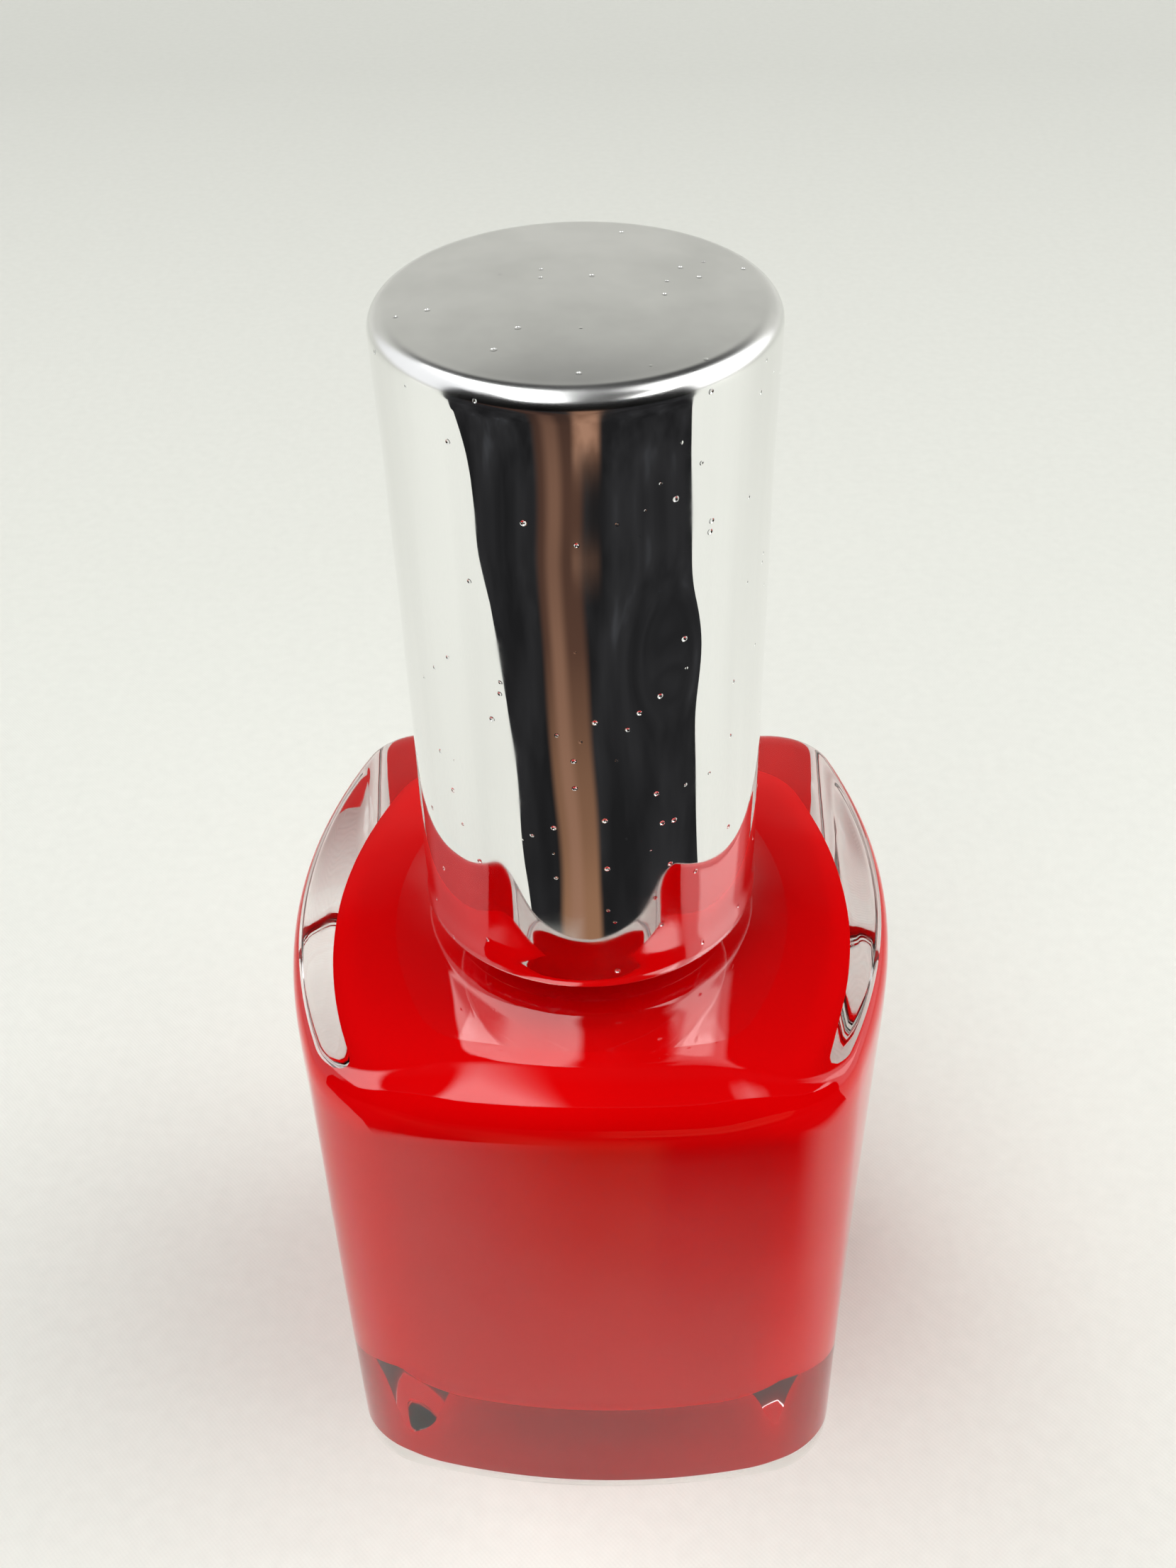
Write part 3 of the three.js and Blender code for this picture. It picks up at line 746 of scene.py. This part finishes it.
def ease_in(tree, value, start, end, kind):
    """0 where a value is at its start, and 1 where it is at its end."""
    node = add(tree, "ShaderNodeMapRange", interpolation_type=kind)
    node.inputs["From Min"].default_value = start
    node.inputs["From Max"].default_value = end
    tree.links.new(value, node.inputs["Value"])
    return node.outputs["Result"]


def band(tree, value, low, high, soft):
    """1 where a value lies between low and high, easing to 0 over soft on each side."""
    rise = ease_in(tree, value, low - soft, low + soft, "SMOOTHSTEP")
    fall = ease_in(tree, value, high + soft, high - soft, "SMOOTHSTEP")
    return calculate(tree, "MULTIPLY", rise, fall)


def calculate(tree, operation, *values):
    node = add(tree, "ShaderNodeMath", operation=operation)
    for socket, value in zip(node.inputs, values):
        if isinstance(value, (int, float)):
            socket.default_value = value
        else:
            tree.links.new(value, socket)
    return node.outputs["Value"]


def blend(tree, factor, below, above):
    node = add(tree, "ShaderNodeMix", data_type="RGBA")
    tree.links.new(factor, node.inputs["Factor"])
    for socket, value in ((node.inputs[6], below), (node.inputs[7], above)):
        if isinstance(value, tuple):
            socket.default_value = (*value, 1)
        else:
            tree.links.new(value, socket)
    return node.outputs[2]


def blend_values(tree, factor, below, above):
    node = add(tree, "ShaderNodeMix")
    for socket, value in ((node.inputs[0], factor), (node.inputs[2], below), (node.inputs[3], above)):
        tree.links.new(value, socket)
    return node.outputs[0]


def multiply(tree, below, above):
    node = add(tree, "ShaderNodeMix", data_type="RGBA", blend_type="MULTIPLY")
    node.inputs["Factor"].default_value = 1.0
    tree.links.new(below, node.inputs[6])
    tree.links.new(above, node.inputs[7])
    return node.outputs[2]


def directions(tree, vector):
    """Azimuth from the front, turning to the right, and elevation, both in degrees."""
    parts = add(tree, "ShaderNodeSeparateXYZ")
    tree.links.new(vector, parts.inputs[0])
    forward = calculate(tree, "MULTIPLY", parts.outputs["Y"], -1.0)
    turn = calculate(tree, "ARCTAN2", parts.outputs["X"], forward)
    rise = calculate(tree, "ARCSINE", parts.outputs["Z"])
    return tuple(calculate(tree, "MULTIPLY", angle, 180 / math.pi) for angle in (turn, rise))


def noise_texture(tree, vector, scale, detail=3.0, roughness=0.5):
    node = add(tree, "ShaderNodeTexNoise", Scale=scale, Detail=detail, Roughness=roughness)
    tree.links.new(vector, node.inputs["Vector"])
    return node.outputs["Fac"]


def ramp(tree, factor, stops):
    """A colour ramp. stops are (position, grey value or colour)."""
    node = add(tree, "ShaderNodeValToRGB")
    elements = node.color_ramp.elements
    while len(elements) < len(stops):
        elements.new(0.5)
    for element, (position, value) in zip(elements, stops):
        element.position = position
        element.color = (value, value, value, 1) if isinstance(value, float) else (*value, 1)
    tree.links.new(factor, node.inputs["Fac"])
    return node.outputs["Color"]


def bump(tree, shader, height, distance, strength=1.0):
    node = add(tree, "ShaderNodeBump", Strength=strength, Distance=distance)
    tree.links.new(height, node.inputs["Height"])
    tree.links.new(node.outputs["Normal"], shader.inputs["Normal"])
    return node


def glass_material():
    material, tree, shader = new_material(
        "clear_glass", Base_Color=(0.985, 0.995, 0.99), Transmission_Weight=1.0, IOR=1.52
    )
    place = coordinates(tree)
    waves = noise_texture(tree, place, 140, 1.0)
    bump(tree, shader, waves, 0.0004, 0.12)
    smudges = noise_texture(tree, place, 420, 4.0, 0.6)
    tree.links.new(ramp(tree, smudges, [(0.52, 0.0), (0.75, 0.1)]), shader.inputs["Roughness"])
    return material


def lacquer_material():
    material, tree, shader = new_material("red_lacquer", Roughness=0.35, Specular_IOR_Level=0.0)
    place = coordinates(tree)
    swirl = noise_texture(tree, place, 60, 3.0)
    colour = ramp(tree, swirl, [(0.3, (0.62, 0.0, 0.0004)), (0.7, (0.68, 0.0, 0.001))])
    tree.links.new(colour, shader.inputs["Base Color"])
    return material


def chrome_material():
    """Metallised plastic: a bright skin with pits, fine draw marks, and a rim rubbed dull."""
    material, tree, shader = new_material("mirror_chrome", Metallic=1.0)
    place = coordinates(tree)
    pits = add(tree, "ShaderNodeTexVoronoi", Scale=760.0)
    tree.links.new(place, pits.inputs["Vector"])
    pit_shape = ramp(tree, pits.outputs["Distance"], [(0.0, 0.0), (0.05, 0.15), (0.095, 1.0), (0.12, 0.9)])
    dents = bump(tree, shader, pit_shape, 0.00009, 0.9)
    stretch = add(tree, "ShaderNodeMapping", Scale=(1.0, 1.0, 0.05))
    tree.links.new(place, stretch.inputs["Vector"])
    marks = noise_texture(tree, stretch.outputs["Vector"], 900, 3.0)
    drawn = add(tree, "ShaderNodeBump", Strength=0.05, Distance=0.00002)
    tree.links.new(marks, drawn.inputs["Height"])
    tree.links.new(drawn.outputs["Normal"], dents.inputs["Normal"])
    haze = noise_texture(tree, place, 180, 5.0, 0.65)
    parts = add(tree, "ShaderNodeSeparateXYZ")
    tree.links.new(place, parts.inputs[0])
    rim = band(tree, parts.outputs["Z"], (CAP_TOP - WORN_RIM) * MM, 1.0, 0.0006)
    polish = ramp(tree, haze, [(0.45, 0.015), (0.7, 0.09)])
    worn = ramp(tree, haze, [(0.3, 0.2), (0.7, 0.27)])
    tree.links.new(blend_values(tree, rim, polish, worn), shader.inputs["Roughness"])
    tone = noise_texture(tree, stretch.outputs["Vector"], 260, 4.0)
    colour = ramp(tree, tone, [(0.3, (0.8, 0.8, 0.79)), (0.65, (0.9, 0.9, 0.89))])
    tree.links.new(colour, shader.inputs["Base Color"])
    return material


def closure_material():
    material, tree, shader = new_material("closure_plastic")
    place = coordinates(tree)
    grain = noise_texture(tree, place, 1800, 2.0)
    bump(tree, shader, grain, 0.00002, 0.5)
    haze = noise_texture(tree, place, 260, 4.0)
    tree.links.new(ramp(tree, haze, [(0.35, 0.36), (0.7, 0.52)]), shader.inputs["Roughness"])
    tree.links.new(ramp(tree, haze, [(0.3, 0.010), (0.8, 0.022)]), shader.inputs["Base Color"])
    return material


def washer_material():
    material, tree, shader = new_material("washer_foam", Roughness=0.85)
    place = coordinates(tree)
    cells = add(tree, "ShaderNodeTexVoronoi", Scale=5200.0)
    tree.links.new(place, cells.inputs["Vector"])
    colour = ramp(tree, cells.outputs["Distance"], [(0.0, (0.62, 0.6, 0.55)), (0.5, (0.86, 0.85, 0.8))])
    tree.links.new(colour, shader.inputs["Base Color"])
    bump(tree, shader, cells.outputs["Distance"], 0.00005, 0.6)
    return material


def stem_material():
    """Milky plastic, with a film of lacquer up to where the bottle's filling reaches."""
    material, tree, shader = new_material("stem_plastic")
    place = coordinates(tree)
    parts = add(tree, "ShaderNodeSeparateXYZ")
    tree.links.new(place, parts.inputs[0])
    runs = noise_texture(tree, place, 330, 2.0)
    height = calculate(tree, "ADD", parts.outputs["Z"], calculate(tree, "MULTIPLY", runs, 0.004))
    film = band(tree, height, -1.0, top_of("nail_lacquer") * MM + 0.004, 0.0006)
    mottle = noise_texture(tree, place, 700, 3.0)
    milky = ramp(tree, mottle, [(0.3, (0.78, 0.78, 0.76)), (0.7, (0.84, 0.84, 0.82))])
    red = ramp(tree, mottle, [(0.3, (0.62, 0.0, 0.006)), (0.7, (0.8, 0.004, 0.012))])
    tree.links.new(blend(tree, film, milky, red), shader.inputs["Base Color"])
    tree.links.new(ramp(tree, film, [(0.0, 0.38), (1.0, 0.1)]), shader.inputs["Roughness"])
    bump(tree, shader, runs, 0.00004, 0.4)
    return material


def brass_material():
    material, tree, shader = new_material("anchor_metal", Metallic=1.0)
    place = coordinates(tree)
    tarnish = noise_texture(tree, place, 1500, 4.0)
    colour = ramp(tree, tarnish, [(0.35, (0.55, 0.33, 0.12)), (0.65, (0.8, 0.58, 0.26))])
    tree.links.new(colour, shader.inputs["Base Color"])
    tree.links.new(ramp(tree, tarnish, [(0.3, 0.2), (0.7, 0.4)]), shader.inputs["Roughness"])
    return material


def bristle_material():
    """Black nylon, soaked in lacquer from the roots down."""
    material, tree, shader = new_material("bristle_nylon", Roughness=0.22)
    place = coordinates(tree)
    soak = noise_texture(tree, place, 900, 3.0)
    colour = ramp(tree, soak, [
        (0.35, (0.04, 0.002, 0.003)), (0.55, (0.45, 0.0, 0.006)), (0.8, (0.7, 0.004, 0.012)),
    ])
    tree.links.new(colour, shader.inputs["Base Color"])
    bump(tree, shader, soak, 0.00003, 0.4)
    return material


def steel_material():
    material, tree, shader = new_material("ball_steel", Metallic=1.0)
    place = coordinates(tree)
    scuffs = noise_texture(tree, place, 1400, 4.0, 0.7)
    colour = ramp(tree, scuffs, [(0.35, (0.5, 0.5, 0.51)), (0.65, (0.66, 0.66, 0.67))])
    tree.links.new(colour, shader.inputs["Base Color"])
    tree.links.new(ramp(tree, scuffs, [(0.4, 0.08), (0.7, 0.3)]), shader.inputs["Roughness"])
    bump(tree, shader, scuffs, 0.00002, 0.4)
    return material


def label_material():
    material, tree, shader = new_material("label_film", Roughness=0.55)
    place = coordinates(tree)
    fibres = noise_texture(tree, place, 2600, 4.0, 0.7)
    colour = ramp(tree, fibres, [(0.3, (0.74, 0.74, 0.71)), (0.7, (0.84, 0.84, 0.81))])
    tree.links.new(colour, shader.inputs["Base Color"])
    bump(tree, shader, fibres, 0.00002, 0.4)
    return material


# The cloth's weave in metres, and where the painted shade that darkens it towards the back starts and how
# fast.
WEAVE = 0.0003
PAINTED_SHADE_NEAR = 0.06
PAINTED_SHADE_FALL = 3.2


def floor_material():
    """Pale cloth of a fine plain weave, with painted shade that darkens it further back and to the left."""
    material, tree, shader = new_material("pale_cloth", Roughness=0.9, Specular_IOR_Level=0.1)
    parts = add(tree, "ShaderNodeSeparateXYZ")
    place = coordinates(tree)
    tree.links.new(place, parts.inputs[0])
    threads = []
    for axis in ("X", "Y"):
        wave = calculate(tree, "SINE", calculate(tree, "MULTIPLY", parts.outputs[axis], 2 * math.pi / WEAVE))
        threads.append(calculate(tree, "MULTIPLY", wave, 0.5))
    weave = calculate(tree, "ADD", calculate(tree, "MULTIPLY", threads[0], threads[1]), 0.5)
    slubs = noise_texture(tree, place, 900, 4.0)
    # Painted shade: the cloth's colour darkens from near the bottle towards the back, as the light falls off.
    back = calculate(tree, "ADD", parts.outputs["Y"], PAINTED_SHADE_NEAR)
    back = calculate(tree, "MULTIPLY", back, PAINTED_SHADE_FALL)
    cloth = ramp(tree, back, [
        (0.0, (0.86, 0.866, 0.812)), (0.19, (0.8, 0.806, 0.755)),
        (0.47, (0.69, 0.694, 0.645)), (1.0, (0.54, 0.543, 0.505)),
    ])
    uneven = calculate(tree, "ADD", calculate(tree, "MULTIPLY", weave, 0.5), slubs)
    shade = ramp(tree, uneven, [(0.4, 0.95), (1.0, 1.0)])
    # Painted shade: the cloth is a little darker towards the left, where less light falls.
    side = calculate(tree, "ADD", calculate(tree, "MULTIPLY", parts.outputs["X"], 3.0), 0.5)
    painted_side_shade = ramp(tree, side, [(0.0, 0.95), (0.5, 0.975), (1.0, 1.0)])
    tree.links.new(multiply(tree, cloth, multiply(tree, shade, painted_side_shade)), shader.inputs["Base Color"])
    bump(tree, shader, weave, 0.00004, 0.5)
    return material


# ---- Stage ----

FLOOR_HALF = 1600.0
CARD_HEIGHT = 0.4
CARD_RADII = [19.0, 34.0, 48.0, 56.0, 64.0, 80.0, 96.0, 115.0, 140.0, 180.0, 300.0, 700.0]
CARD_FADE = (19.0, 47.0)
CARD_SETTLED = (46.0, 52.0)
# The card's strip of arm runs out over this distance and leans this many degrees on the way. Its edges,
# its brighter middle and the hand's palm are ranges of azimuth.
ARM_REACH = 200.0
ARM_LEAN = 14.0
ARM_EDGES = (-12, 12)
ARM_GLOW = (-7, 1)
PALM_EDGES = (0, 14)
PALM_DISTANCES = (112, 900)
ROOM_LEFT = -70.0
ROOM_RIGHT = 66.0
WALL_HEIGHTS = [0.4, 150.0, 300.0, 450.0, 590.0]
FAN_STEPS = 40


def make_floor():
    vertices = [(x, y, 0.0) for y in (-FLOOR_HALF, FLOOR_HALF) for x in (-FLOOR_HALF, FLOOR_HALF)]
    floor = mesh_object("floor", vertices, [(0, 1, 3, 2)], floor_material(), False)


def fan_row(radius, left, right, height):
    """Points round the bottle's front, from one azimuth to another in degrees."""
    row = []
    for i in range(FAN_STEPS + 1):
        angle = math.radians(mix(left, right, i / FAN_STEPS))
        row.append((radius * math.sin(angle), -radius * math.cos(angle), height))
    return row


def fan(name, rows, material):
    faces = []
    for row in range(len(rows) - 1):
        for i in range(FAN_STEPS):
            low = row * (FAN_STEPS + 1) + i
            faces.append((low, low + 1, low + FAN_STEPS + 2, low + FAN_STEPS + 1))
    return mesh_object(name, [point for row in rows for point in row], faces, material, False)


def make_front_card():
    """The dark room in front, as a fan on the floor that only reflections see. It fades in over the floor
    near the bottle, and holds the warm strip of an arm that widens to a hand further out."""
    material = bpy.data.materials.new("front_card")
    material.use_nodes = True
    tree = material.node_tree
    tree.nodes.clear()
    place = coordinates(tree)
    azimuth, _ = directions(tree, place)
    length = add(tree, "ShaderNodeVectorMath", operation="LENGTH")
    tree.links.new(place, length.inputs[0])
    distance = calculate(tree, "DIVIDE", length.outputs["Value"], MM)
    reach = calculate(tree, "DIVIDE", distance, ARM_REACH)
    cloudy = noise_texture(tree, place, 30, 3.0)
    room = ramp(tree, cloudy, [
        (0.4, (0.015, 0.015, 0.016)), (0.62, (0.03, 0.03, 0.032)), (0.75, (0.06, 0.062, 0.068)),
    ])
    arm = ramp(tree, reach, [
        (0.25, (0.33, 0.17, 0.096)), (0.45, (0.1, 0.05, 0.034)), (0.8, (0.05, 0.028, 0.022)),
    ])
    glow = ramp(tree, reach, [
        (0.25, (0.36, 0.19, 0.12)), (0.5, (0.22, 0.115, 0.075)), (0.9, (0.08, 0.042, 0.032)),
    ])
    hand = ramp(tree, cloudy, [(0.35, (0.2, 0.1, 0.062)), (0.65, (0.42, 0.23, 0.15))])
    leaning = calculate(tree, "ADD", azimuth, calculate(tree, "MULTIPLY", reach, ARM_LEAN))
    dark = blend(tree, band(tree, leaning, *ARM_EDGES, 2.5), room, arm)
    dark = blend(tree, band(tree, leaning, *ARM_GLOW, 3), dark, glow)
    far_enough = band(tree, distance, *PALM_DISTANCES, 12)
    palm = calculate(tree, "MULTIPLY", band(tree, azimuth, *PALM_EDGES, 2), far_enough)
    dark = blend(tree, palm, dark, hand)
    emission = add(tree, "ShaderNodeEmission", Strength=1.0)
    tree.links.new(dark, emission.inputs["Color"])
    clear = add(tree, "ShaderNodeBsdfTransparent")
    fade = ease_in(tree, distance, *CARD_FADE, "SMOOTHSTEP")
    settled = ease_in(tree, distance, *CARD_SETTLED, "LINEAR")
    cover = calculate(tree, "MAXIMUM", band(tree, azimuth, -16, 46, 16), settled)
    mixed = add(tree, "ShaderNodeMixShader")
    tree.links.new(calculate(tree, "MULTIPLY", fade, cover), mixed.inputs[0])
    tree.links.new(clear.outputs[0], mixed.inputs[1])
    tree.links.new(emission.outputs[0], mixed.inputs[2])
    output = add(tree, "ShaderNodeOutputMaterial")
    tree.links.new(mixed.outputs[0], output.inputs["Surface"])
    rows = []
    for radius in CARD_RADII:
        left = max(ROOM_LEFT, -34 - 0.38 * (radius - 50))
        right = min(84.0, ROOM_RIGHT + 12 * math.exp((50.0 - radius) / 25.0))
        rows.append(fan_row(radius, left, right, CARD_HEIGHT))
    card = fan("front_card", rows, material)
    card.visible_camera = False
    card.visible_diffuse = False
    card.visible_transmission = False
    card.visible_shadow = False


def make_front_wall():
    """The dark room's far side, a curved wall behind the camera. No camera sees it, but it shades the
    light that comes from the front, as the room did."""
    material, tree, shader = new_material("front_wall", Roughness=1.0, Specular_IOR_Level=0.0)
    shade = noise_texture(tree, coordinates(tree), 3, 2.0)
    tree.links.new(ramp(tree, shade, [(0.3, 0.004), (0.7, 0.012)]), shader.inputs["Base Color"])
    rows = [fan_row(CARD_RADII[-1], ROOM_LEFT, ROOM_RIGHT, height) for height in WALL_HEIGHTS]
    wall = fan("front_wall", rows, material)
    wall.visible_camera = False


# Ceiling panels, on a plane one unit above the bottle: x range, y range, how much further back the
# panel reaches for each unit to the right, softness and radiance.
PANELS = [
    ((-0.7, -0.12), (-1.2, 0.06), -0.9, 0.05, (4.1, 4.15, 4.15)),
    ((0.7, 1.42), (-1.2, 0.15), -0.64, 0.05, (4.3, 4.3, 4.25)),
    ((0.5, 1.6), (-0.2, -0.3), 0.8, 0.05, (4.3, 4.3, 4.25)),
]

# Side walls: azimuth range, elevation range, softness and radiance.
WALLS = [
    ((-130, -58), (4, 74), 8, (1.0, 1.01, 1.03)),
    ((66, 130), (4, 74), 8, (1.7, 1.7, 1.7)),
]


def make_world():
    world = bpy.data.worlds.new("studio")
    bpy.context.scene.world = world
    world.use_nodes = True
    tree = world.node_tree
    tree.nodes.clear()
    direction = add(tree, "ShaderNodeTexCoord").outputs["Generated"]
    azimuth, elevation = directions(tree, direction)
    light = ramp(tree, calculate(tree, "DIVIDE", elevation, 90.0), [
        (0.0, (0.7, 0.7, 0.66)), (0.16, (0.57, 0.57, 0.53)), (0.22, (0.61, 0.61, 0.57)),
        (0.3, (0.6, 0.6, 0.56)), (0.385, (0.47, 0.47, 0.44)), (0.43, 0.13), (0.47, 0.03),
        (0.8, 0.02), (0.95, 0.05),
    ])
    for azimuths, elevations, soft, colour in WALLS:
        inside_azimuth = band(tree, azimuth, *azimuths, soft)
        inside_elevation = band(tree, elevation, *elevations, soft)
        light = blend(tree, calculate(tree, "MULTIPLY", inside_azimuth, inside_elevation), light, colour)
    parts = add(tree, "ShaderNodeSeparateXYZ")
    tree.links.new(direction, parts.inputs[0])
    height = calculate(tree, "MAXIMUM", parts.outputs["Z"], 0.02)
    across = calculate(tree, "DIVIDE", parts.outputs["X"], height)
    along = calculate(tree, "DIVIDE", parts.outputs["Y"], height)
    for xs, ys, slant, soft, colour in PANELS:
        inside_x = band(tree, across, *xs, soft)
        sheared = calculate(tree, "SUBTRACT", along, calculate(tree, "MULTIPLY", across, slant))
        inside_back = band(tree, sheared, -9.0, ys[1], soft * 2)
        inside_front = band(tree, along, ys[0], 9.0, soft)
        inside = calculate(tree, "MULTIPLY", inside_x, calculate(tree, "MULTIPLY", inside_back, inside_front))
        light = blend(tree, inside, light, colour)
    background = add(tree, "ShaderNodeBackground", Strength=1.0)
    tree.links.new(light, background.inputs["Color"])
    output = add(tree, "ShaderNodeOutputWorld")
    tree.links.new(background.outputs[0], output.inputs["Surface"])


# Where the camera stands round the point it looks at, in degrees and millimetres, and its lens.
CAMERA_AZIMUTH = 3.1
CAMERA_ELEVATION = 39.5
CAMERA_ROLL = -1.57
CAMERA_DISTANCE = 92.9
CAMERA_AIM_HEIGHT = 43.3
CAMERA_LENS = 40.57


def make_camera():
    azimuth = math.radians(CAMERA_AZIMUTH)
    elevation = math.radians(CAMERA_ELEVATION)
    roll = math.radians(CAMERA_ROLL)
    level = math.cos(elevation)
    back = Vector((math.sin(azimuth) * level, -math.cos(azimuth) * level, math.sin(elevation)))
    right = Vector((math.cos(azimuth), math.sin(azimuth), 0))
    up = back.cross(right)
    turned_right = right * math.cos(roll) + up * math.sin(roll)
    turned_up = up * math.cos(roll) - right * math.sin(roll)
    data = bpy.data.cameras.new("camera")
    data.sensor_width = 36.0
    data.lens = CAMERA_LENS
    data.clip_start = 0.005
    data.clip_end = 20.0
    camera = bpy.data.objects.new("camera", data)
    bpy.context.scene.collection.objects.link(camera)
    position = Vector((0, 0, CAMERA_AIM_HEIGHT * MM)) + back * (CAMERA_DISTANCE * MM)
    axes = Matrix((turned_right, turned_up, back)).transposed().to_4x4()
    camera.matrix_world = Matrix.Translation(position) @ axes
    bpy.context.scene.camera = camera


# ---- The scene ----

def mount(piece, body, node):
    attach(piece, body)
    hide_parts(node)


make_camera()
make_world()
make_floor()
make_front_card()
make_front_wall()
bpy.context.scene.view_settings.view_transform = "Standard"

mount(make_glass(glass_material()), "bottle", "glass_bottle")
mount(make_lacquer(lacquer_material()), "bottle", "nail_lacquer")
mount(make_label(label_material()), "bottle", "base_label")
steel = steel_material()
for number in (1, 2):
    ball = make_ball(f"steel_ball_{number}", f"mixing_ball_{number}", steel)
    mount(ball, "bottle", f"mixing_ball_{number}")

mount(make_washer(washer_material()), "liner", "seal_washer")

mount(make_stem(stem_material()), "brush", "brush_stem")
mount(make_anchor(brass_material()), "brush", "bristle_anchor")
mount(make_bristles(bristle_material()), "brush", "bristle_tuft")

mount(make_cap(chrome_material()), "cap", "overcap")
mount(make_closure(closure_material()), "cap", "inner_cap")
